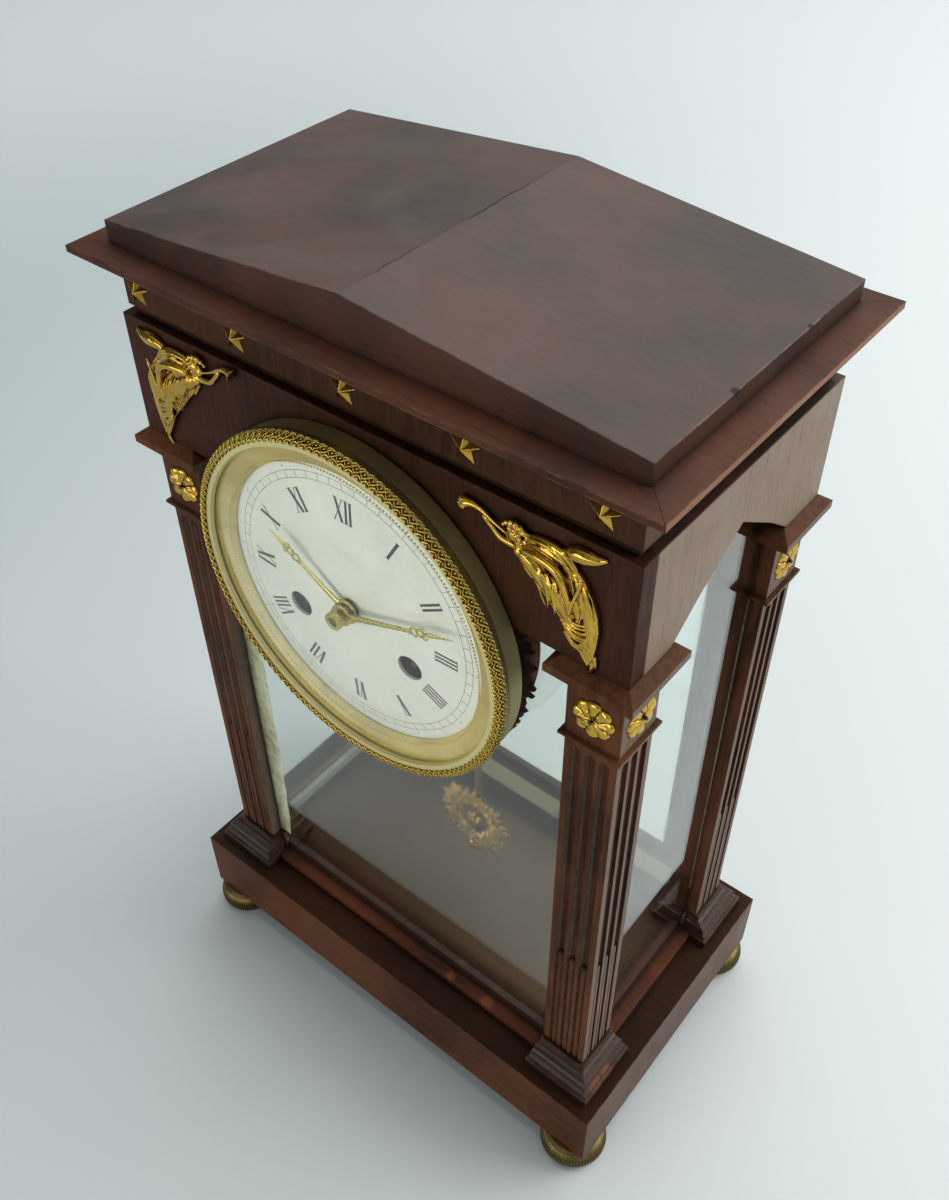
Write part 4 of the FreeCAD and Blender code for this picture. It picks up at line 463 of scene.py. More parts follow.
bezelWall = metal("bezelWall", {
    "tone": (84, 70, 36), "deep": (32, 26, 12), "rough": 0.24, "bump": 0.0, "grimeAndShade": 0.15, "reach": 0.0012,
    "patina": 0.3, "bright": (140, 122, 66), "pale": (226, 214, 158)})
engineTurned = turnedMetal("engineTurned", {
    "tone": (236, 212, 118), "deep": (172, 150, 66), "rays": 1.0, "rings": 0.35, "bump": 0.4, "rough": 0.42})
handGilt = metal("handGilt", {
    "tone": (206, 188, 104), "deep": (120, 100, 44), "bright": (232, 218, 150), "grimeAndShade": 0.25,
    "wear": 0.15, "patina": 0.15, "bump": 0.0})
movementBrass = metal("movementBrass", {
    "tone": (190, 158, 90), "deep": (96, 72, 32), "rough": 0.3, "bump": 0.03, "arbors": arborPlaces})
oldBrass = metal("oldBrass", {
    "tone": (116, 102, 62), "deep": (44, 36, 20), "bright": (168, 152, 106), "rough": 0.42, "wear": 0.8})
darkSteel = metal("darkSteel", {
    "tone": (84, 84, 88), "deep": (34, 34, 36), "bright": (140, 140, 146), "rough": 0.34})
bellBronze = turnedMetal("bellBronze", {"tone": (206, 196, 164), "deep": (140, 126, 92)})
whiteEnamel = plainFinish("whiteEnamel", (234, 236, 222), (224, 226, 210), {
    "rough": 0.16, "scale": 22.0, "bump": 0.01, "coat": 0.4})
blackPaint = plainFinish("dialBlack", (64, 64, 66), (46, 46, 48), {"rough": 0.5, "scale": 200.0})

finishOf = {
    woodFrieze: "frieze_front", woodFront: "rear_door_frame", woodSide: "frieze_boards", woodSills: "sills",
    woodPosts: "capitals pilaster_front_right pilaster_front_left pilaster_rear_right pilaster_rear_left",
    woodBases: "pilaster_bases", woodBand: "star_band", woodRoof: "roof_block", woodCornice: "cornice",
    woodPlinth: "plinth", drumWood: "drum_ring", puttyCrust: "drum_seal", creamPutty: "glazing_beads",
    glassPane: "front_glass side_glasses rear_door_glass", glassDome: "bezel_glass",
    giltMount: "stars rosettes victories pendulum_bob", bezelWall: "bezel", engineTurned: "sight_ring",
    handGilt: "hour_hand minute_hand hand_nut cannon_pinion hour_wheel",
    movementBrass: "dial_plate mounting_straps going_barrel strike_barrel second_wheel centre_wheel "
                   "third_wheel strike_second_wheel count_wheel pin_wheel fly escape_wheel front_plate "
                   "back_plate pillars suspension_cock minute_wheel rating_nut pendulum_rod",
    oldBrass: "feet door_hinge_leaves case_hinge_leaves door_turn_button",
    darkSteel: "anchor hammer bell_stand", bellBronze: "bell", whiteEnamel: "enamel_dial",
}
for material, names in finishOf.items():
    for name in names.split():
        for slot in nodes[name].material_slots:
            slot.material = material
print("finishes set on", sum(len(names.split()) for names in finishOf.values()), "nodes")


# Small tools for meshes, drawn in metres
def keepPiece(form, name, body, finish, smooth=40.0):
    bmesh.ops.recalc_face_normals(form, faces=form.faces[:])
    mesh = bpy.data.meshes.new(name)
    form.to_mesh(mesh)
    form.free()
    mesh.polygons.foreach_set("use_smooth", [True] * len(mesh.polygons))
    mesh.set_sharp_from_angle(angle=math.radians(smooth))
    mesh.materials.append(finish)
    piece = bpy.data.objects.new(name, mesh)
    bpy.context.scene.collection.objects.link(piece)
    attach(piece, body)
    return piece


def skinRows(form, rows, closed=False):
    # a solid from rows of points that run round it, with its two ends closed
    count = len(rows[0])
    for a, b in zip(rows, rows[1:] + rows[:1] if closed else rows[1:]):
        for k in range(count):
            form.faces.new((a[k], a[(k + 1) % count], b[(k + 1) % count], b[k]))
    if not closed:
        form.faces.new(rows[0])
        form.faces.new(rows[-1][::-1])


def addTube(form, points, radii, sides=10, flat=1.0, face=Vector((0, -1, 0)), closed=False):
    count = len(points)
    rings = []
    for i, point in enumerate(points):
        before = points[i - 1] if (i or closed) else point
        after = points[(i + 1) % count] if (i < count - 1 or closed) else point
        ahead = (after - before).normalized()
        out = (face - ahead * face.dot(ahead)).normalized()
        side = ahead.cross(out)
        rings.append([form.verts.new(point + (side * math.cos(math.tau * k / sides)
                                              + out * flat * math.sin(math.tau * k / sides)) * radii[i])
                      for k in range(sides)])
    skinRows(form, rings, closed)


def curved(knots, steps=6):
    # a smooth run through knots of any number of values
    if len(knots) < 3:
        return [tuple(a + (b - a) * k / steps for a, b in zip(*knots)) for k in range(steps + 1)]
    run = []
    padded = [knots[0]] + list(knots) + [knots[-1]]
    for i in range(len(knots) - 1):
        a, b, c, d = padded[i:i + 4]
        for k in range(steps):
            t = k / steps
            run.append(tuple(0.5 * (2 * q + (r - p) * t + (2 * p - 5 * q + 4 * r - s) * t * t
                                    + (3 * q - p - 3 * r + s) * t ** 3) for p, q, r, s in zip(a, b, c, d)))
    run.append(tuple(knots[-1]))
    return run


def addLathe(form, profile, centre, way="y", steps=96, shape=None):
    # profile: (radius, along); shape gives a changed radius for each step
    rows = []
    for radius, along in profile:
        row = []
        for k in range(steps):
            turn = math.tau * k / steps
            r = shape(turn, radius, along) if shape else radius
            u, v = r * math.sin(turn), r * math.cos(turn)
            row.append(form.verts.new(centre + Vector((u, along, v) if way == "y" else (u, v, along))))
            if radius < 1e-7:
                row = row * steps
                break
        rows.append(row)
    for a, b in zip(rows, rows[1:]):
        for k in range(steps):
            n = (k + 1) % steps
            ring = list(dict.fromkeys((a[k], a[n], b[n], b[k])))
            if len(ring) > 2:
                form.faces.new(ring)


def addBall(form, centre, radii, detail=(14, 8)):
    # an ellipsoid of rings stacked along Z
    wide, deep, tall = (radii, radii, radii) if isinstance(radii, float) else radii
    around, levels = detail
    low = form.verts.new(centre - Vector((0, 0, tall)))
    high = form.verts.new(centre + Vector((0, 0, tall)))
    rings = []
    for i in range(1, levels):
        rise = math.pi * i / levels
        rings.append([form.verts.new(centre + Vector((wide * math.sin(rise) * math.cos(math.tau * k / around),
                                                      deep * math.sin(rise) * math.sin(math.tau * k / around),
                                                      -tall * math.cos(rise)))) for k in range(around)])
    for k in range(around):
        n = (k + 1) % around
        form.faces.new((low, rings[0][n], rings[0][k]))
        form.faces.new((high, rings[-1][k], rings[-1][n]))
        for a, b in zip(rings, rings[1:]):
            form.faces.new((a[k], a[n], b[n], b[k]))


def dialSpot(along, across, turn):
    # a place on the dial's face, along a radius turned from twelve and across it
    return (along * math.sin(turn) + across * math.cos(turn), along * math.cos(turn) - across * math.sin(turn))


dialTree = BVHTree.FromPolygons([v.co.copy() for v in nodes["enamel_dial"].data.vertices],
                                [tuple(p.vertices) for p in nodes["enamel_dial"].data.polygons])


def dialSkin(x, z, lift):
    # a point lifted off the domed enamel, given in millimetres from the dial's centre
    start = Vector((dialX + x * mm, dialLow.y - 0.02, dialZ + z * mm))
    hit = dialTree.ray_cast(start, Vector((0, 1, 0)))[0]
    return Vector((start.x, (hit.y if hit else dialHigh.y) - lift * mm, start.z))


def addPaint(form, run, lift=0.05, sink=0.08):
    # a painted stroke on the dial: (x, z, width) down its middle
    rows = []
    for i, (x, z, wide) in enumerate(run):
        nx, nz, _ = run[min(i + 1, len(run) - 1)]
        px, pz, _ = run[max(i - 1, 0)]
        length = math.hypot(nx - px, nz - pz)
        ax, az = -(nz - pz) / length * wide / 2, (nx - px) / length * wide / 2
        rows.append([form.verts.new(dialSkin(x + ax * s, z + az * s, h)) for s, h in
                     ((-1, lift), (1, lift), (1, -sink), (-1, -sink))])
    skinRows(form, rows)


# Painted figures: Roman hours with their feet to the centre, and a fine minute track
numerals = {"middle": 42.2, "tall": 9.2, "thin": 0.34, "serif": 0.16, "foot": 0.35, "wide": {"V": 2.9, "X": 3.8},
            "thick": {1: 1.2, 2: 1.0, 3: 0.86, 4: 0.78}, "gap": {0: 0.8, 1: 0.8, 2: 0.9, 3: 0.85, 4: 0.84}}
hourWords = ("XII", "I", "II", "III", "IIII", "V", "VI", "VII", "VIII", "IX", "X", "XI")


def numeralStrokes(word):
    # strokes as (x at the foot, x at the head, width), centred on the word
    count = word.count("I")
    thick = numerals["thick"][max(1, count)]
    strokes, at = [], 0.0
    for letter in word:
        wide = numerals["wide"].get(letter, thick)
        if letter == "I":
            strokes.append((at + wide / 2, at + wide / 2, thick))
        elif letter == "V":
            strokes.append((at + wide * 0.52, at + thick * 0.5, thick * 1.1))
            strokes.append((at + wide * 0.52, at + wide - 0.1, numerals["thin"]))
        else:
            strokes.append((at + wide - thick * 0.5, at + thick * 0.5, thick * 1.1))
            strokes.append((at + 0.1, at + wide - 0.1, numerals["thin"]))
        at += wide + numerals["gap"][count]
    middle = (at - numerals["gap"][count]) / 2
    return [(a - middle, b - middle, w) for a, b, w in strokes]


form = bmesh.new()
half = numerals["tall"] / 2
for hour, word in enumerate(hourWords):
    turn = math.radians(30 * hour)
    for foot, head, wide in numeralStrokes(word):
        addPaint(form, [(*dialSpot(numerals["middle"] + (-half + numerals["tall"] * k / 4),
                                   foot + (head - foot) * k / 4, turn), wide) for k in range(5)])
        for up, across in ((-half, foot), (half, head)):
            reach = wide * 0.5 + numerals["foot"]
            addPaint(form, [(*dialSpot(numerals["middle"] + up, across + s, turn), numerals["serif"])
                            for s in (-reach, reach)])
keepPiece(form, "hour_numerals", "case", blackPaint)

minuteTrack = {"edges": (50.4, 53.2), "dots": (54.4, 55.2), "line": 0.13, "tick": 0.12, "dot": 0.42}
form = bmesh.new()
for radius in minuteTrack["edges"]:
    for start in range(0, 360, 30):
        addPaint(form, [(*dialSpot(radius, 0, math.radians(start + 30 * k / 12)), minuteTrack["line"])
                        for k in range(13)], 0.045)
for count, reach, wide in ((60, "edges", "tick"), (12, "dots", "dot")):
    for k in range(count):
        addPaint(form, [(*dialSpot(r, 0, math.radians(360 / count * k)), minuteTrack[wide])
                        for r in minuteTrack[reach]])
keepPiece(form, "minute_track", "case", blackPaint)
print("dial painted")

# Hands: a flat gilt shank with a pierced ring and scrolls before the spear point
handForms = {
    "hour_hand": {"turn": 304.8, "length": 39.0, "back": -67.9, "tip": -70.0, "collet": 5.0, "bore": 3.02,
                  "body": "hour_set"},
    "minute_hand": {"turn": 70.8, "length": 52.0, "back": -70.3, "tip": -68.9, "collet": 4.3, "bore": 1.82,
                    "body": "minute_set"},
}
for name, hand in handForms.items():
    turn = math.radians(hand["turn"])
    length = hand["length"]

    def handPoint(along, across):
        drop = (hand["tip"] - hand["back"]) * max(0.0, along) / length
        x, z = dialSpot(along, across, turn)
        return Vector((dialX + x * mm, (hand["back"] + drop - 0.45) * mm, dialZ + z * mm))

    def addLimb(knots, sides, flat):
        run = curved(knots)
        addTube(form, [handPoint(a, b) for a, b, _ in run], [r * mm for *_, r in run], sides, flat)

    form = bmesh.new()
    ring = length * 0.72
    addLimb([(3.0, 0, 1.5), (length * 0.3, 0, 1.12), (ring - 5.6, 0, 0.84), (ring - 4.3, 0, 0.9)], 10, 0.5)
    addLimb([(ring + 1.9, 0, 0.5), (ring + 3.6, 0, 0.95), (ring + 6.4, 0, 0.72), (length, 0, 0.14)], 10, 0.5)
    loop = [handPoint(ring + 1.55 * math.cos(k * math.pi / 10), 1.35 * math.sin(k * math.pi / 10))
            for k in range(20)]
    addTube(form, loop, [0.5 * mm] * 20, 8, 0.8, closed=True)
    for side in (-1, 1):
        addLimb([(ring - 4.3, side * 0.5, 0.38), (ring - 2.9, side * 1.75, 0.42),
                 (ring - 1.7, side * 1.15, 0.36), (ring - 1.5, side * 0.4, 0.3)], 8, 0.8)
        addLimb([(ring + 0.6, side * 1.5, 0.34), (ring + 1.6, side * 2.3, 0.4),
                 (ring + 2.9, side * 1.5, 0.24)], 8, 0.8)
        addBall(form, handPoint(ring - 4.6, side * 0.75), 0.55 * mm, (10, 6))
    bore, collet = hand["bore"], hand["collet"]
    profile = ((bore, 0.35), (bore, -0.75), (collet - 1.2, -0.85), (collet, -0.45), (collet, 0.15),
               (collet - 0.3, 0.35), (bore, 0.35))
    addLathe(form, [(r * mm, y * mm) for r, y in profile],
             Vector((dialX, hand["back"] * mm - 0.35 * mm, dialZ)), "y", 48)
    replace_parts(keepPiece(form, name + "_pierced", hand["body"], handGilt, 50), name)
print("hands cut")

# Bezel: a cast band that rolls over the outer corner, of crossing strands, eyes and leaf tips
bezelForm = {"pitch": 130, "strand": 0.36, "eye": 0.5, "bead": 0.4, "tip": (0.28, 0.5, 0.12),
             "section": ((66.9, -71.3), (67.9, -72.1), (69.1, -71.7), (69.8, -70.4), (69.9, -68.8)),
             "behind": ((69.2, -68.8), (69.2, -70.2), (67.0, -70.9), (66.85, -71.3))}
form = bmesh.new()


def faceSpot(radius, depth, turn):
    # a point round the dial's axis, given in millimetres
    return Vector((dialX + radius * mm * math.sin(turn), depth * mm, dialZ + radius * mm * math.cos(turn)))


def bandPoint(turn, share, lift):
    # share runs from the inner edge of the band, over the corner, to the foot of its outer wall
    section = bezelForm["section"]
    at = min(max(share, 0.0), 0.9999) * (len(section) - 1)
    i = int(at)
    a, b = section[i], section[i + 1]
    radius, depth = (p + (q - p) * (at - i) for p, q in zip(a, b))
    away = math.atan2(b[1] - a[1], b[0] - a[0]) + math.pi / 2
    return faceSpot(radius - lift * math.cos(away), depth - lift * math.sin(away), turn)


steps = bezelForm["pitch"] * 8
for middle, phase in ((0.3, 0.0), (0.3, math.pi), (0.72, math.pi / 2), (0.72, math.pi * 1.5)):
    points = []
    for k in range(steps):
        turn = math.tau * k / steps
        swing = bezelForm["pitch"] * turn / 2 + phase
        points.append(bandPoint(turn, middle + 0.2 * math.sin(swing), 0.12 + 0.2 * math.cos(swing)))
    addTube(form, points, [bezelForm["strand"] * mm] * steps, 6, 1.0, closed=True)
for k in range(bezelForm["pitch"]):
    turn = math.tau * (k + 0.5) / bezelForm["pitch"]
    half = math.pi / bezelForm["pitch"]
    for size, share, lift, ahead, detail in (("eye", 0.3, 0.15, 0, (8, 6)), ("eye", 0.72, 0.15, half, (8, 6)),
                                             ("bead", 0.02, 0.1, 0, (7, 5)), ("bead", 0.5, 0.3, half, (7, 5))):
        addBall(form, bandPoint(turn + ahead, share, lift), bezelForm[size] * mm, detail)
    tip = [bandPoint(turn - half * 0.7, 0.84, 0.2), bandPoint(turn, 0.93, 0.35),
           bandPoint(turn + half * 0.7, 0.999, 0.1)]
    addTube(form, tip, [r * mm for r in bezelForm["tip"]], 6, 0.9, face=Vector((math.sin(turn), 0, math.cos(turn))))
keepPiece(form, "bezel_cast_band", "bezel_frame", giltBezel, 60)
form = bmesh.new()
addLathe(form, [((r - 0.05) * mm, d * mm) for r, d in bezelForm["section"]]
         + [(r * mm, d * mm) for r, d in bezelForm["behind"]], dialCentre, "y", 240)
keepPiece(form, "bezel_band_ground", "bezel_frame", bandGround, 60)

sightBeads = {"radius": 57.9, "depth": -67.4, "count": 260, "bead": 0.42}
form = bmesh.new()
for k in range(sightBeads["count"]):
    addBall(form, faceSpot(sightBeads["radius"], sightBeads["depth"], math.tau * k / sightBeads["count"]),
            sightBeads["bead"] * mm, (7, 5))
keepPiece(form, "sight_beads", "bezel_frame", engineTurned, 60)
print("bezel dressed")


def islandsOf(name):
    # the boxes of a node's separate bodies, for pieces that stand in their places
    shape = bmesh.new()
    shape.from_mesh(nodes[name].data)
    bmesh.ops.remove_doubles(shape, verts=shape.verts[:], dist=1e-6)
    left, found = set(shape.verts), []
    while left:
        reached, edge = set(), [left.pop()]
        while edge:
            vert = edge.pop()
            reached.add(vert)
            for link in vert.link_edges:
                other = link.other_vert(vert)
                if other in left:
                    left.discard(other)
                    edge.append(other)
        spots = [v.co for v in reached]
        found.append([Vector([pick(s[i] for s in spots) for i in range(3)]) for pick in (min, max)])
    shape.free()
    return sorted(found, key=lambda b: tuple(round(c, 4) for c in b[0]))


def addRelief(form, base, across, up, out, outline, height, rings, steps):
    # a low cast relief on a flat back: outline(turn) gives its edge and height(turn, share) its face
    def spot(turn, share, lift):
        away = outline(turn) * share
        return form.verts.new(base + across * away * math.sin(turn) + up * away * math.cos(turn) + out * lift)
    turns = [math.tau * k / steps for k in range(steps)]
    top = form.verts.new(base + out * height(0.0, 0.0))
    back = form.verts.new(base)
    rows = [[spot(turn, i / rings, height(turn, i / rings)) for turn in turns] for i in range(1, rings + 1)]
    rows.append([spot(turn, 1.0, 0.0) for turn in turns])
    for k in range(steps):
        n = (k + 1) % steps
        form.faces.new((top, rows[0][k], rows[0][n]))
        form.faces.new((back, rows[-1][n], rows[-1][k]))
        for a, b in zip(rows, rows[1:]):
            form.faces.new((a[k], b[k], b[n], a[n]))


# Rosettes: eight rolled petals with veins, a ring of knobs and a pinned centre
rosette = {"radius": 8.1, "petals": 8, "edge": 0.55, "swell": 1.15, "boss": 1.5, "pin": 0.75}


def rosetteEdge(turn):
    return rosette["radius"] * mm * (0.83 + 0.17 * abs(math.cos(rosette["petals"] / 2 * turn)) ** 0.6)


def rosetteFace(turn, share):
    petal = abs(math.cos(rosette["petals"] / 2 * turn))
    roll = math.exp(-((share - 0.84) / 0.1) ** 2) * 0.55 * petal
    vein = math.exp(-((petal - 1) / 0.012) ** 2) * 0.3 * math.sin(math.pi * min(1, share * 1.1))
    knob = math.exp(-((share - 0.42) / 0.07) ** 2) * 0.7 * (1 - petal) ** 0.7
    swell = rosette["swell"] * math.sin(math.pi * min(1.0, 0.18 + share * 0.82)) * petal ** 0.45 * 0.75
    boss = rosette["boss"] * math.sqrt(max(0.0, 1 - (share / 0.2) ** 2))
    return (max(rosette["edge"] + swell, boss) + roll + vein + knob) * mm * (1.0 if share < 0.995 else 0.5)


form = bmesh.new()
pins = bmesh.new()
upward = Vector((0, 0, 1))
for low, high in islandsOf("rosettes"):
    size = high - low
    middle = (low + high) / 2
    if size.x < size.y:
        out = Vector((math.copysign(1, middle.x), 0, 0))
        base = Vector((low.x if middle.x > 0 else high.x, middle.y, middle.z))
    else:
        out = Vector((0, -1, 0))
        base = Vector((middle.x, high.y, middle.z))
    addRelief(form, base - out * 0.1 * mm, out.cross(upward), upward, out, rosetteEdge, rosetteFace, 16, 128)
    addBall(pins, base + out * (rosette["boss"] + 0.55) * mm, rosette["pin"] * mm, (12, 8))
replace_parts(keepPiece(form, "rosettes_chased", "case", giltMount, 70), "rosettes")
keepPiece(pins, "rosette_pins", "case", darkSteel)
print("rosettes chased")

# Two winged figures blowing trumpets: strokes of (x, z, lift, radius) from the dial's centre
figureStrokes = {
    "robe": [(80.0, 58.0, 0.8, 1.6), (85.0, 54.6, 1.0, 2.2), (88.4, 49.6, 1.1, 2.4), (89.6, 44.6, 1.0, 2.3),
             (90.2, 39.4, 0.9, 2.0), (92.0, 33.8, 0.7, 1.4), (93.6, 29.6, 0.6, 0.9)],
    "trumpet": [(63.6, 62.9, 2.2, 0.42), (58.0, 64.8, 2.0, 0.55), (53.7, 66.9, 1.9, 0.85), (50.4, 67.7, 1.9, 1.2),
                (49.6, 67.7, 1.9, 1.3)],
    "farArm": [(67.4, 59.9, 1.5, 1.5), (63.8, 59.7, 1.5, 1.25), (60.2, 60.2, 1.6, 1.05), (57.2, 62.8, 1.8, 0.85),
               (54.6, 65.2, 2.0, 0.85)],
    "neck": [(66.6, 63.2, 1.8, 1.3), (68.0, 60.0, 1.8, 1.5)],
    "chest": [(67.8, 59.0, 1.5, 2.1), (71.2, 57.8, 1.8, 3.1), (74.6, 55.0, 1.8, 2.9), (77.2, 52.0, 1.7, 2.7)],
    "hips": [(77.4, 53.6, 1.5, 2.6), (81.2, 50.4, 1.6, 3.3), (84.6, 46.4, 1.6, 3.1), (87.2, 43.0, 1.4, 2.6)],
    "shin": [(87.2, 42.8, 1.4, 2.4), (90.4, 38.0, 1.3, 2.0), (93.2, 32.4, 1.1, 1.35), (94.7, 28.4, 0.9, 0.9)],
    "foot": [(94.7, 28.4, 0.9, 0.95), (94.5, 25.6, 0.8, 0.8), (93.1, 23.2, 0.7, 0.5)],
    "farFoot": [(95.3, 31.4, 0.9, 1.0), (95.9, 28.6, 0.8, 0.75), (96.1, 26.6, 0.6, 0.45)],
    "nearArm": [(71.4, 61.8, 3.6, 1.8), (75.8, 62.6, 4.9, 1.6), (80.2, 62.2, 5.3, 1.45), (83.8, 59.6, 5.3, 1.35),
                (86.1, 54.2, 5.1, 1.15), (87.3, 50.2, 4.8, 0.95), (87.4, 47.7, 4.4, 1.15)],
    "stem": [(91.0, 61.0, 4.4, 0.5), (88.1, 50.3, 5.2, 0.6), (87.4, 46.6, 4.6, 0.6)],
    "wingEdge": [(70.8, 65.6, 1.3, 1.1), (75.9, 66.6, 1.6, 1.4), (80.5, 66.4, 1.7, 1.5), (84.2, 64.8, 1.6, 1.4),
                 (87.2, 61.4, 1.4, 1.1), (89.2, 58.2, 1.2, 0.7)],
    "wingMiddle": [(72.4, 63.6, 1.2, 1.5), (78.0, 63.8, 1.4, 1.7), (83.2, 61.2, 1.4, 1.7), (87.0, 56.6, 1.2, 1.3),
                   (88.8, 52.6, 1.0, 0.7)],
    "wingLow": [(76.0, 61.6, 1.1, 1.4), (82.0, 60.0, 1.2, 1.5), (86.2, 54.6, 1.1, 1.3), (87.6, 50.4, 0.9, 0.7)],
    "farWing": [(83.6, 66.4, 0.9, 1.6), (87.0, 68.0, 1.2, 2.6), (90.4, 68.5, 1.2, 2.6), (93.6, 68.9, 1.0, 1.8),
                (96.2, 69.8, 0.7, 0.8)],
    "cloak": [(88.2, 58.4, 0.9, 1.2), (90.6, 54.6, 1.1, 2.0), (92.6, 49.4, 1.2, 2.5), (93.4, 44.2, 1.1, 2.4),
              (93.8, 39.2, 1.0, 1.9), (94.6, 34.0, 0.9, 1.2)],
    "cloakEdge": [(90.0, 59.6, 0.9, 0.5), (92.6, 54.6, 1.2, 0.6), (94.8, 48.6, 1.3, 0.6), (95.8, 43.0, 1.2, 0.6),
                  (95.4, 36.6, 1.0, 0.5)],
    "ribbon": [(65.6, 59.4, 0.9, 0.45), (67.6, 56.8, 1.0, 0.5), (69.6, 54.2, 1.0, 0.5), (71.6, 52.2, 1.0, 0.65),
               (73.6, 51.7, 1.1, 0.7)],
    "belly": [(74.8, 52.4, 1.1, 1.3), (77.6, 49.8, 1.3, 1.5), (80.2, 46.8, 1.3, 1.5), (83.0, 43.8, 1.1, 1.4),
              (86.0, 41.2, 1.0, 1.3), (88.8, 37.8, 0.9, 1.1)],
}
figureFolds = [
    [(75.0, 56.4, 4.2, 0.34), (78.4, 52.6, 4.3, 0.4), (80.0, 48.2, 4.9, 0.36), (79.4, 43.6, 3.4, 0.28)],
    [(77.0, 56.6, 4.2, 0.32), (80.8, 52.0, 4.6, 0.42), (82.4, 47.0, 5.0, 0.36), (82.0, 42.4, 3.4, 0.28)],
    [(73.2, 54.2, 4.0, 0.3), (75.8, 51.0, 4.0, 0.36), (77.8, 47.2, 4.2, 0.32), (78.6, 44.0, 3.2, 0.26)],
    [(86.6, 46.4, 4.2, 0.36), (88.6, 42.6, 3.6, 0.42), (91.0, 40.6, 3.0, 0.36), (94.6, 41.4, 2.6, 0.3)],
    [(84.6, 42.6, 4.0, 0.36), (87.6, 39.2, 3.4, 0.44), (91.0, 37.4, 2.8, 0.38), (94.4, 38.4, 2.2, 0.3)],
    [(85.4, 40.0, 3.4, 0.32), (88.6, 36.4, 3.2, 0.4), (92.0, 33.6, 2.4, 0.32), (94.6, 33.4, 2.0, 0.24)],
    [(90.0, 56.0, 2.8, 0.32), (91.2, 51.2, 3.4, 0.36), (91.0, 46.6, 3.4, 0.32), (89.6, 42.6, 3.0, 0.26)],
    [(92.4, 53.0, 3.0, 0.3), (93.6, 47.4, 3.4, 0.34), (93.2, 42.6, 3.0, 0.28)],
    [(69.4, 59.6, 4.0, 0.3), (71.0, 56.4, 4.6, 0.34), (73.6, 53.4, 4.4, 0.3)],
    [(73.0, 65.8, 2.9, 0.26), (78.6, 65.4, 3.2, 0.3), (83.2, 63.2, 3.2, 0.28), (87.0, 59.2, 2.6, 0.2)],
    [(74.4, 62.6, 2.8, 0.24), (80.0, 62.6, 3.1, 0.28), (84.6, 59.0, 3.0, 0.28), (87.8, 54.0, 2.4, 0.2)],
    [(86.0, 68.6, 3.6, 0.3), (90.4, 69.2, 3.6, 0.34), (94.6, 69.4, 2.4, 0.24)],
    [(86.4, 67.0, 3.6, 0.3), (90.0, 67.4, 3.4, 0.3), (93.4, 68.0, 2.4, 0.24)],
]
figureGround = [(66.8, 61.4), (67.8, 57.2), (71.4, 52.4), (75.0, 49.2), (78.8, 45.2), (82.8, 41.6), (86.4, 38.0),
                (88.8, 34.2), (91.4, 30.2), (93.6, 27.4), (95.4, 31.2), (96.2, 36.6), (96.6, 42.6), (95.8, 48.6),
                (93.6, 54.4), (90.8, 59.4), (87.4, 62.6), (83.6, 65.4), (79.0, 66.9), (74.0, 66.2), (70.4, 64.4)]
foldFans = [
    {"count": 9, "from": ((74.6, 57.6), (86.0, 54.0)), "over": ((78.2, 53.4), (86.8, 48.2)),
     "to": ((74.2, 52.0), (86.8, 41.6)), "lift": (3.4, 4.4, 1.8), "radius": 0.46},
    {"count": 7, "from": ((84.0, 46.2), (86.2, 38.0)), "over": ((89.6, 44.0), (89.8, 34.6)),
     "to": ((95.9, 45.0), (94.4, 31.6)), "lift": (3.8, 4.0, 1.6), "radius": 0.5},
    {"count": 5, "from": ((85.4, 61.6), (90.6, 58.6)), "over": ((88.4, 55.0), (93.6, 53.4)),
     "to": ((88.6, 46.6), (95.4, 45.6)), "lift": (2.6, 3.6, 2.8), "radius": 0.45},
    {"count": 5, "from": ((70.6, 65.2), (73.4, 61.2)), "over": ((78.6, 66.4), (80.2, 60.6)),
     "to": ((87.6, 60.8), (86.4, 54.6)), "lift": (2.6, 3.4, 2.0), "radius": 0.55},
]
hairCurls = [(61.6, 66.0, 1.9, 0.7), (62.8, 67.2, 2.1, 0.95), (64.4, 68.0, 2.2, 1.1), (66.2, 68.1, 2.3, 1.15),
             (68.0, 67.6, 2.2, 1.15), (69.4, 66.4, 2.1, 1.1), (70.2, 64.9, 2.0, 1.0), (69.8, 63.3, 2.1, 0.95),
             (68.6, 62.2, 2.3, 0.85), (64.6, 66.6, 3.2, 0.85), (66.4, 66.8, 3.4, 0.9), (68.0, 65.8, 3.3, 0.9),
             (68.4, 64.2, 3.2, 0.85), (67.2, 65.2, 3.8, 0.75)]
# Small round parts of a figure: (x, z, lift, radius across, radius out, radius up)
figureBalls = {"head": (66.0, 64.6, 2.2, 2.3, 2.0, 2.5), "face": (64.5, 63.2, 2.3, 1.5, 1.3, 1.5),
               "nose": (63.7, 64.3, 2.6, 0.5, 0.5, 0.65)}
trumpetBell = [(50.8, 67.7, 1.9, 1.1), (49.2, 67.6, 2.0, 1.3), (47.9, 67.3, 2.1, 1.8), (47.0, 67.0, 2.1, 2.7),
               (47.5, 67.1, 2.1, 1.9), (48.6, 67.4, 2.1, 0.5)]
figure = {"turnLeft": 5.0, "footX": 94.8, "footZ": 25.0, "cell": 0.24, "flat": 0.85, "plate": 2.3}
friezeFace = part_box("victories")[1].y


def figurePoint(x, z, lift, way, turn):
    dx, dz = (x - figure["footX"]) * way, z - figure["footZ"]
    c, s = math.cos(turn), math.sin(turn)
    return Vector((dialX + (figure["footX"] * way + dx * c - dz * s) * mm, friezeFace - lift * mm * figure["flat"],
                   dialZ + (figure["footZ"] + dx * s + dz * c) * mm))


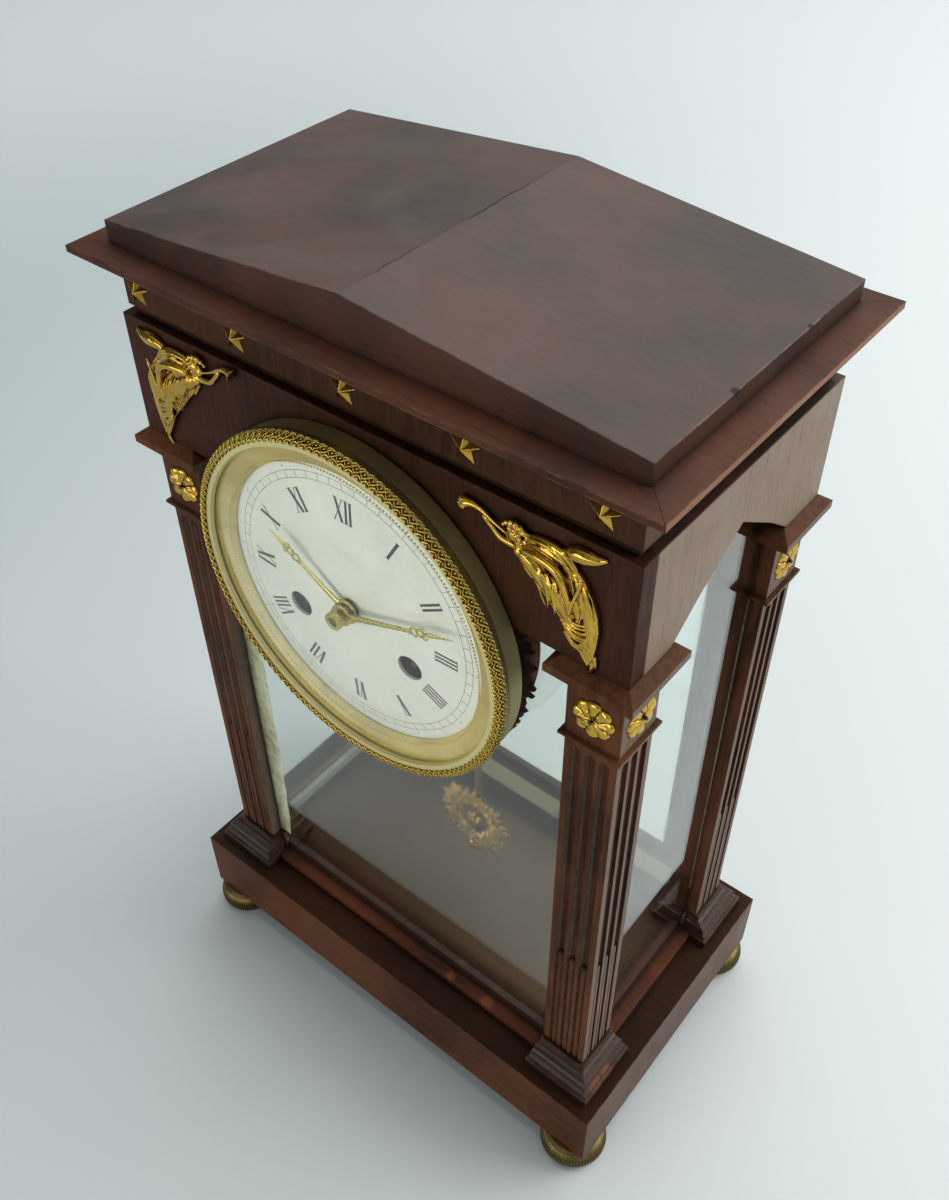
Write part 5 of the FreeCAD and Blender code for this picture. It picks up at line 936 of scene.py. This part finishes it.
def addStroke(form, knots, way, turn, sides=12, steps=5):
    run = curved(knots, steps)
    first, last = run[0], run[-1]
    run = [(*first[:3], first[3] * 0.45)] + run[1:-1] + [(*last[:3], last[3] * 0.55)]
    points = [figurePoint(*knot[:3], way, turn) for knot in run]
    addTube(form, points, [knot[3] * mm for knot in run], sides, 0.9)
    addBall(form, points[0], run[1][3] * 0.98 * mm, (12, 8))
    addBall(form, points[-1], run[-2][3] * 0.9 * mm, (12, 8))


for tag, way in (("right", 1), ("left", -1)):
    turn = 0.0 if way > 0 else math.radians(figure["turnLeft"])
    form = bmesh.new()
    for knots in figureStrokes.values():
        addStroke(form, knots, way, turn)
    for knots in figureFolds:
        addStroke(form, knots, way, turn, 8)
    addTube(form, [figurePoint(*knot[:3], way, turn) for knot in trumpetBell],
            [knot[3] * mm for knot in trumpetBell], 20)
    front, behind = ([form.verts.new(figurePoint(x, z, lift, way, turn)) for x, z in figureGround]
                     for lift in (figure["plate"], 0.0))
    ground = [form.faces.new(front), form.faces.new(behind[::-1])]
    for k in range(len(front)):
        n = (k + 1) % len(front)
        form.faces.new((front[k], behind[k], behind[n], front[n]))
    bmesh.ops.triangulate(form, faces=ground)
    for fan in foldFans:
        for k in range(fan["count"]):
            share = k / (fan["count"] - 1)
            stray = 0.35 * math.sin(k * 2.7 + fan["count"])
            knots = []
            for key, lift, wide in zip(("from", "over", "to"), fan["lift"], (0.7, 1.0, 0.55)):
                (ax, az), (bx, bz) = fan[key]
                knots.append((ax + (bx - ax) * share + stray, az + (bz - az) * share - stray, lift,
                              fan["radius"] * wide))
            addStroke(form, knots, way, turn, 8)
    for x, z, lift, radius in hairCurls:
        addBall(form, figurePoint(x, z, lift, way, turn), radius * mm, (12, 8))
    for part, detail in (("head", (20, 14)), ("face", (16, 10)), ("nose", (10, 8))):
        x, z, lift, *radii = figureBalls[part]
        addBall(form, figurePoint(x, z, lift, way, turn), [r * mm for r in radii], detail)
    piece = keepPiece(form, "victory_" + tag, "case", giltMount, 180)
    union = piece.modifiers.new("castWhole", "REMESH")
    union.mode = "VOXEL"
    union.voxel_size = figure["cell"] * mm
    union.use_smooth_shade = True
    eased = piece.modifiers.new("eased", "SMOOTH")
    eased.factor = 0.5
    eased.iterations = 1
    whole = bpy.data.meshes.new_from_object(piece.evaluated_get(bpy.context.evaluated_depsgraph_get()))
    piece.modifiers.clear()
    piece.data = whole
    if way > 0:
        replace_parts(piece, "victories")
print("figures cast")


def addBlock(form, low, high):
    for vert in bmesh.ops.create_cube(form, size=1.0)["verts"]:
        vert.co = Vector([b if c > 0 else a for a, b, c in zip(low, high, vert.co)])


# Panes: plain plates let into the wood all round, the front one cut round the drum
paneSet = {"frontX": 97.6, "sideY": 49.4, "foot": 53.3, "drum": 65.35, "frontTop": 309.6, "shoulderX": 100.0,
           "shoulderZ": 272.4, "steps": 120}
glassLow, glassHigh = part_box("front_glass")
form = bmesh.new()
corners = [(paneSet["frontX"], paneSet["foot"]), (paneSet["frontX"], paneSet["shoulderZ"]),
           (paneSet["shoulderX"], paneSet["shoulderZ"]), (paneSet["shoulderX"], paneSet["frontTop"])]
reach = math.acos((paneSet["frontTop"] - dialZ / mm) / paneSet["drum"])
outline = [(-paneSet["frontX"], paneSet["foot"])] + corners
for k in range(paneSet["steps"] + 1):
    turn = reach + (math.tau - reach * 2) * k / paneSet["steps"]
    outline.append((paneSet["drum"] * math.sin(turn), dialZ / mm + paneSet["drum"] * math.cos(turn)))
outline += [(-x, z) for x, z in corners[:0:-1]]
face = form.faces.new([form.verts.new((x * mm, glassLow.y, z * mm)) for x, z in outline])
for part in bmesh.ops.extrude_face_region(form, geom=[face])["geom"]:
    if isinstance(part, bmesh.types.BMVert):
        part.co.y = glassHigh.y
bmesh.ops.triangulate(form, faces=[f for f in form.faces if len(f.verts) > 4])
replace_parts(keepPiece(form, "front_pane", "case", glassPane), "front_glass")
form = bmesh.new()
reach = paneSet["sideY"] * mm
for low, high in islandsOf("side_glasses"):
    addBlock(form, (low.x, -reach, paneSet["foot"] * mm), (high.x, reach, high.z))
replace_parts(keepPiece(form, "side_panes", "case", glassPane), "side_glasses")

# The domed glass of the bezel, blown smooth
domeSet = {"rim": 67.0, "edge": 64.02, "flat": -69.8, "rise": 9.0, "thick": 1.6, "rows": 22}
outside = []
for k in range(domeSet["rows"] + 1):
    lean = math.pi / 2 * k / domeSet["rows"]
    outside.append((domeSet["edge"] * math.sin(lean), domeSet["flat"] - domeSet["rise"] * math.cos(lean) ** 2))
outside.append((domeSet["rim"], domeSet["flat"]))
inside = [(r, y + domeSet["thick"]) for r, y in reversed(outside)]
form = bmesh.new()
addLathe(form, [(r * mm, y * mm) for r, y in outside + inside], dialCentre, steps=144)
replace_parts(keepPiece(form, "dome_blown", "bezel_frame", glassDome, 40), "bezel_glass")

# Wood fillets that close the corners between the sills, the panes and the moulded blocks
filletSet = {"z": (53.4, 65.4), "side": ((97.4, 101.2), (33.2, 37.6)), "front": ((81.8, 86.2), (48.9, 52.6))}
form = bmesh.new()
for sx in (-1, 1):
    for sy in (-1, 1):
        for xs, ys in (filletSet["side"],) if sy > 0 else (filletSet["side"], filletSet["front"]):
            addBlock(form, *((x * sx * mm, y * sy * mm, z * mm) for x, y, z in zip(xs, ys, filletSet["z"])))
keepPiece(form, "corner_fillets", "case", woodPosts)

# A broad strip of old cream putty down the left front corner, smeared on the back of the front pane
stripSet = {"low": 65.6, "high": 270.8, "left": -93.7, "right": -75.6, "front": -49.78, "proud": 0.9, "rows": 150}
form = bmesh.new()
rows = []
for k in range(stripSet["rows"] + 1):
    z = stripSet["low"] + (stripSet["high"] - stripSet["low"]) * k / stripSet["rows"]
    edge = (stripSet["right"] - 3.4 * math.exp((60 - z) / 45)
            + 0.9 * noise.fractal(Vector((z * 0.06, 3.1, 0.4)), 0.8, 2.0, 4))
    back = stripSet["front"] + stripSet["proud"] + 0.25 * noise.noise(Vector((z * 0.11, 0.0, 7.0)))
    rows.append([form.verts.new((x * mm, y * mm, z * mm)) for x, y in
                 ((stripSet["left"], stripSet["front"]), (edge, stripSet["front"]), (edge - 0.8, back),
                  (stripSet["left"], back))])
skinRows(form, rows)
keepPiece(form, "corner_putty", "case", stripPutty, 40)
print("panes and corner putty made")

# Dried putty: a torn crust between the drum and the glass
crust = {"inner": 65.0, "outer": 67.6, "torn": 3.2, "within": (65.9, 69.9), "front": -53.9, "back": -51.7,
         "from": 71.0, "to": 289.0, "steps": 420}
form = bmesh.new()
rows = []
for k in range(crust["steps"] + 1):
    turn = math.radians(crust["from"] + (crust["to"] - crust["from"]) * k / crust["steps"])
    out = Vector((math.sin(turn), 0, math.cos(turn)))
    wild = noise.fractal(out * 34.0, 0.7, 2.0, 5)
    edge = min(max(crust["outer"] + crust["torn"] * wild, crust["within"][0]), crust["within"][1])
    row = []
    for radius, depth in ((crust["inner"] - 0.02, crust["front"]), (crust["inner"] + 1.2, crust["front"] - 0.35),
                          ((crust["inner"] + edge) / 2, crust["front"] - 0.25), (edge - 0.5, crust["front"] + 0.25),
                          (edge, crust["front"] + 0.95), (edge, crust["back"]), (crust["inner"] - 0.02, crust["back"])):
        rough = noise.fractal(Vector((radius * 0.7, depth * 1.4, turn * 40)), 0.6, 2.1, 4) * 0.38
        if depth >= crust["back"] - 0.01 or radius < crust["inner"]:
            rough = 0.0
        row.append(form.verts.new(Vector((dialX, (depth - rough) * mm, dialZ)) + out * (radius + rough * 0.6) * mm))
    rows.append(row)
skinRows(form, rows)
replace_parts(keepPiece(form, "putty_crust", "case", puttyCrust, 60), "drum_seal")

# Feet: turned buns with a ribbed edge; the profile gives shares of the radius and of the height
footForm = {"radius": 15.5, "ribs": 68, "depth": 0.75, "core": 11.0,
            "profile": ((0, 0), (0.7, 0), (0.8, 0.04), (0.83, 0.1), (0.93, 0.17), (0.985, 0.27), (1.0, 0.4),
                        (0.995, 0.52), (0.97, 0.64), (0.92, 0.75), (0.86, 0.86), (0.82, 0.88), (0.82, 0.93),
                        (0.774, 0.96), (0.774, 1), (0, 1))}
feetLow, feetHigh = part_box("feet")
tall = (feetHigh.z - feetLow.z) / mm
footRadius = footForm["radius"] * mm
form = bmesh.new()


def ribbed(turn, radius, along):
    share = along / mm / tall
    if 0.1 < share < 0.86 and radius > footForm["core"] * mm:
        groove = 0.5 - 0.5 * math.cos(footForm["ribs"] * turn)
        radius -= footForm["depth"] * mm * groove * math.sin(math.pi * (share - 0.1) / 0.76) ** 0.4
    return radius


for sx in (-1, 1):
    for sy in (-1, 1):
        addLathe(form, [(r * footForm["radius"] * mm, h * tall * mm) for r, h in footForm["profile"]],
                 Vector(((feetHigh.x - footRadius) * sx, (feetHigh.y - footRadius) * sy, 0.0)), "z",
                 footForm["ribs"] * 4, ribbed)
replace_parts(keepPiece(form, "feet_ribbed", "case", oldBrass, 50), "feet")
print("feet and putty made")

# Bob: a thick wreath of leaves and flowers with ragged edges, open round a small rosette
bobForm = {"ring": 13.8, "thick": 1.5, "clusters": 22, "reach": 8.6, "longest": 7.6,
           "leaves": ((0.0, 1.0, 0.5), (0.75, 0.78, 1.0), (-0.8, 0.74, 0.9), (math.pi, 0.62, 0.7),
                      (math.pi + 0.8, 0.6, 1.1), (math.pi - 0.9, 0.55, 0.9))}
bobLow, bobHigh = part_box("pendulum_bob")
bobMiddle = (bobLow + bobHigh) / 2
form = bmesh.new()


def bobPoint(turn, radius, lift=0.0):
    return bobMiddle + Vector((radius * mm * math.sin(turn), -lift * mm, radius * mm * math.cos(turn)))


def addSpray(form, knots, steps, sides, flat):
    run = curved(knots, steps)
    addTube(form, [Vector(p[:3]) for p in run], [p[3] for p in run], sides, flat)


def addLeaf(form, turn, radius, aim, length, wide, lift):
    # a pointed leaf from a place on the wreath, aimed away from the outward direction by aim
    start = bobPoint(turn, radius, lift)
    out = Vector((math.sin(turn + aim), 0, math.cos(turn + aim)))
    belly = start + out * length * 0.45 * mm - Vector((0, 0.5 * mm, 0))
    addSpray(form, [(*start, wide * 0.4 * mm), (*belly, wide * mm), (*(start + out * length * mm), 0.12 * mm)],
             3, 7, 0.45)


def addCluster(form, middle, k, count, away, radii):
    # a ring of petals or berries
    for part in range(count):
        spin = math.tau * part / count + k
        addBall(form, middle + Vector((math.sin(spin), 0, math.cos(spin))) * away * mm, radii, (8, 6))


addTube(form, [bobPoint(math.radians(3 * k), bobForm["ring"] + 0.4 * math.sin(k * 1.7)) for k in range(120)],
        [bobForm["thick"] * mm * (1 + 0.18 * math.sin(k * 0.9)) for k in range(120)], 10, 0.8, closed=True)
for k in range(bobForm["clusters"]):
    turn = math.tau * k / bobForm["clusters"]
    vary = noise.noise(Vector((k * 1.37, 0.2, 0.5)))
    reach = bobForm["reach"] * (0.88 + 0.3 * vary)
    for aim, share, lift in bobForm["leaves"]:
        length = min(reach * share * (1.0 + 0.25 * math.sin(k * 5.1 + aim)), bobForm["longest"])
        start = bobForm["ring"] + (0.6 if abs(aim) < 1.2 else -0.6) + 0.8 * math.sin(k * 2.9)
        addLeaf(form, turn + 0.08 * vary, start, aim + 0.2 * math.sin(k * 3.7), length, 1.5, lift)
    if k % 2:
        addCluster(form, bobPoint(turn, bobForm["ring"] + 0.4 * vary, 1.3), k, 5, 0.95,
                   (0.78 * mm, 0.4 * mm, 0.78 * mm))
        addBall(form, bobPoint(turn, bobForm["ring"] + 0.4 * vary, 1.55), 0.5 * mm, (8, 6))
    else:
        addCluster(form, bobPoint(turn, bobForm["ring"] + 0.8 * vary, 1.25), k, 3, 0.8, 0.62 * mm)
for k in range(6):
    turn = math.tau * k / 6
    addSpray(form, [(*bobPoint(turn, 0.8, 0.5), 0.5 * mm), (*bobPoint(turn, 2.6, 0.9), 1.2 * mm),
                    (*bobPoint(turn, 4.4, 0.4), 0.35 * mm)], 3, 8, 0.5)
addBall(form, bobPoint(0, 0, 1.0), 1.1 * mm, (12, 8))
for turn in (0.0, math.pi):
    addSpray(form, [(*bobPoint(turn, 3.6), 0.7 * mm), (*bobPoint(turn, 8.5, 0.3), 0.95 * mm),
                    (*bobPoint(turn, 14.0), 0.7 * mm)], 4, 8, 0.6)
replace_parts(keepPiece(form, "bob_wreath", "pendulum", giltBob, 60), "pendulum_bob")
print("bob made")

# Floor: one pale sweep that keeps the clock's soft shadow, its colour painted lighter to the right and far off and
# darker to the front left as painted light; lengths in metres
floorSet = {"half": 4.5, "wall": 4.2, "bend": 2.4, "rise": 2.6, "rows": 60, "tone": (215, 221, 221),
            "leftPaintedShade": (172, 182, 184), "farPaintedLight": (210, 217, 217)}
sweep = bmesh.new()
rows = []
for k in range(floorSet["rows"] + 1):
    s = -floorSet["half"] + (floorSet["half"] + floorSet["wall"]) * k / floorSet["rows"]
    bend = max(0.0, s - floorSet["bend"]) / (floorSet["wall"] - floorSet["bend"])
    rows.append([sweep.verts.new((x * floorSet["half"], s, floorSet["rise"] * bend ** 2.2)) for x in (-1, 1)])
for a, b in zip(rows, rows[1:]):
    sweep.faces.new((a[0], a[1], b[1], b[0]))
sweepMesh = bpy.data.meshes.new("paleSweep")
sweep.to_mesh(sweepMesh)
sweep.free()
sweepMesh.polygons.foreach_set("use_smooth", [True] * len(sweepMesh.polygons))
floorObject = bpy.data.objects.new("paleSweep", sweepMesh)
bpy.context.scene.collection.objects.link(floorObject)
floorPaper, tree, shader = newMaterial("palePaper")
place = objectSpot(tree)
parts = partsOf(tree, place)
# painted light: the paper's colour is darker to the front left and evened out far from the clock
toRight = math2(tree, "ADD", parts["X"], times(tree, parts["Y"], 0.35))
paper = mixTone(tree, spread(tree, toRight, -0.75, 0.45), tone(*floorSet["leftPaintedShade"]), tone(*floorSet["tone"]))
away = vector2(tree, "LENGTH", place)
paper = mixTone(tree, spread(tree, away, 0.7, 1.5, 0.0, 0.6), paper, tone(*floorSet["farPaintedLight"]))
fillIn(tree, shader, {"Base Color": paper, "Roughness": 0.8, "Specular IOR Level": 0.2})
sweepMesh.materials.append(floorPaper)

# Light: a broad window to the right and behind, a wide soft ceiling set back, and a low weak front light
lampSet = {
    "ceiling": {"spot": (0.0, 1.5, 3.2), "aim": (0.0, 0.3, 0.0), "size": (5.0, 4.0), "watts": 124.0},
    "window": {"spot": (1.9, 1.6, 1.5), "aim": (0.0, 0.0, 0.15), "size": (1.7, 1.4), "watts": 38.0},
    "front": {"spot": (-0.6, -2.7, 0.62), "aim": (0.0, 0.0, 0.26), "size": (2.6, 0.9), "watts": 27.0},
}
for name, lamp in lampSet.items():
    data = bpy.data.lights.new(name, "AREA")
    data.shape = "RECTANGLE"
    data.size, data.size_y = lamp["size"]
    data.energy = lamp["watts"]
    data.color = (1.0, 0.995, 0.985)
    lampObject = bpy.data.objects.new(name, data)
    lampObject.location = lamp["spot"]
    lampObject.rotation_euler = (Vector(lamp["aim"]) - Vector(lamp["spot"])).to_track_quat("-Z", "Y").to_euler()
    bpy.context.scene.collection.objects.link(lampObject)

# Room: even light, and mirrored rays see it brighter towards the window
roomSet = {"tone": (228, 234, 236), "strength": 0.34, "window": (0.52, 0.42, 0.74), "mirrored": (0.12, 0.86)}
world = bpy.data.worlds.new("paleRoom")
bpy.context.scene.world = world
world.use_nodes = True
tree = world.node_tree
tree.nodes.clear()
path = addNode(tree, "ShaderNodeLightPath")
place = addNode(tree, "ShaderNodeTexCoord")
toward = vector2(tree, "DOT_PRODUCT", place.outputs["Generated"], roomSet["window"])
graded = math2(tree, "SUBTRACT", spread(tree, toward, -0.25, 0.75, *roomSet["mirrored"]), roomSet["strength"])
strength = math2(tree, "MULTIPLY_ADD", path.outputs["Is Glossy Ray"], graded, roomSet["strength"])
sky = addNode(tree, "ShaderNodeBackground", None, {"Color": tone(*roomSet["tone"]), "Strength": strength})
target = addNode(tree, "ShaderNodeOutputWorld")
tree.links.new(sky.outputs[0], target.inputs["Surface"])

# Camera: solved from the edges of the case
cameraSet = {"azimuth": 39.175, "elevation": 43.417, "roll": -0.493, "spot": (0.2240, -0.2737, 0.5724),
             "lens": 36.194, "sensor": 36.0}
azimuth, elevation, roll = (math.radians(cameraSet[k]) for k in ("azimuth", "elevation", "roll"))
back = Vector((math.sin(azimuth) * math.cos(elevation), -math.cos(azimuth) * math.cos(elevation), math.sin(elevation)))
right = Vector((math.cos(azimuth), math.sin(azimuth), 0))
up = back.cross(right)
right, up = right * math.cos(roll) + up * math.sin(roll), up * math.cos(roll) - right * math.sin(roll)
cameraData = bpy.data.cameras.new("photoView")
cameraData.sensor_fit = "VERTICAL"
cameraData.sensor_height = cameraSet["sensor"]
cameraData.lens = cameraSet["lens"]
cameraData.clip_start = 0.01
camera = bpy.data.objects.new("photoView", cameraData)
camera.matrix_world = Matrix.Translation(cameraSet["spot"]) @ Matrix((right, up, back)).transposed().to_4x4()
bpy.context.scene.collection.objects.link(camera)
bpy.context.scene.camera = camera
bpy.context.scene.view_settings.view_transform = "Standard"

bpy.context.view_layer.update()
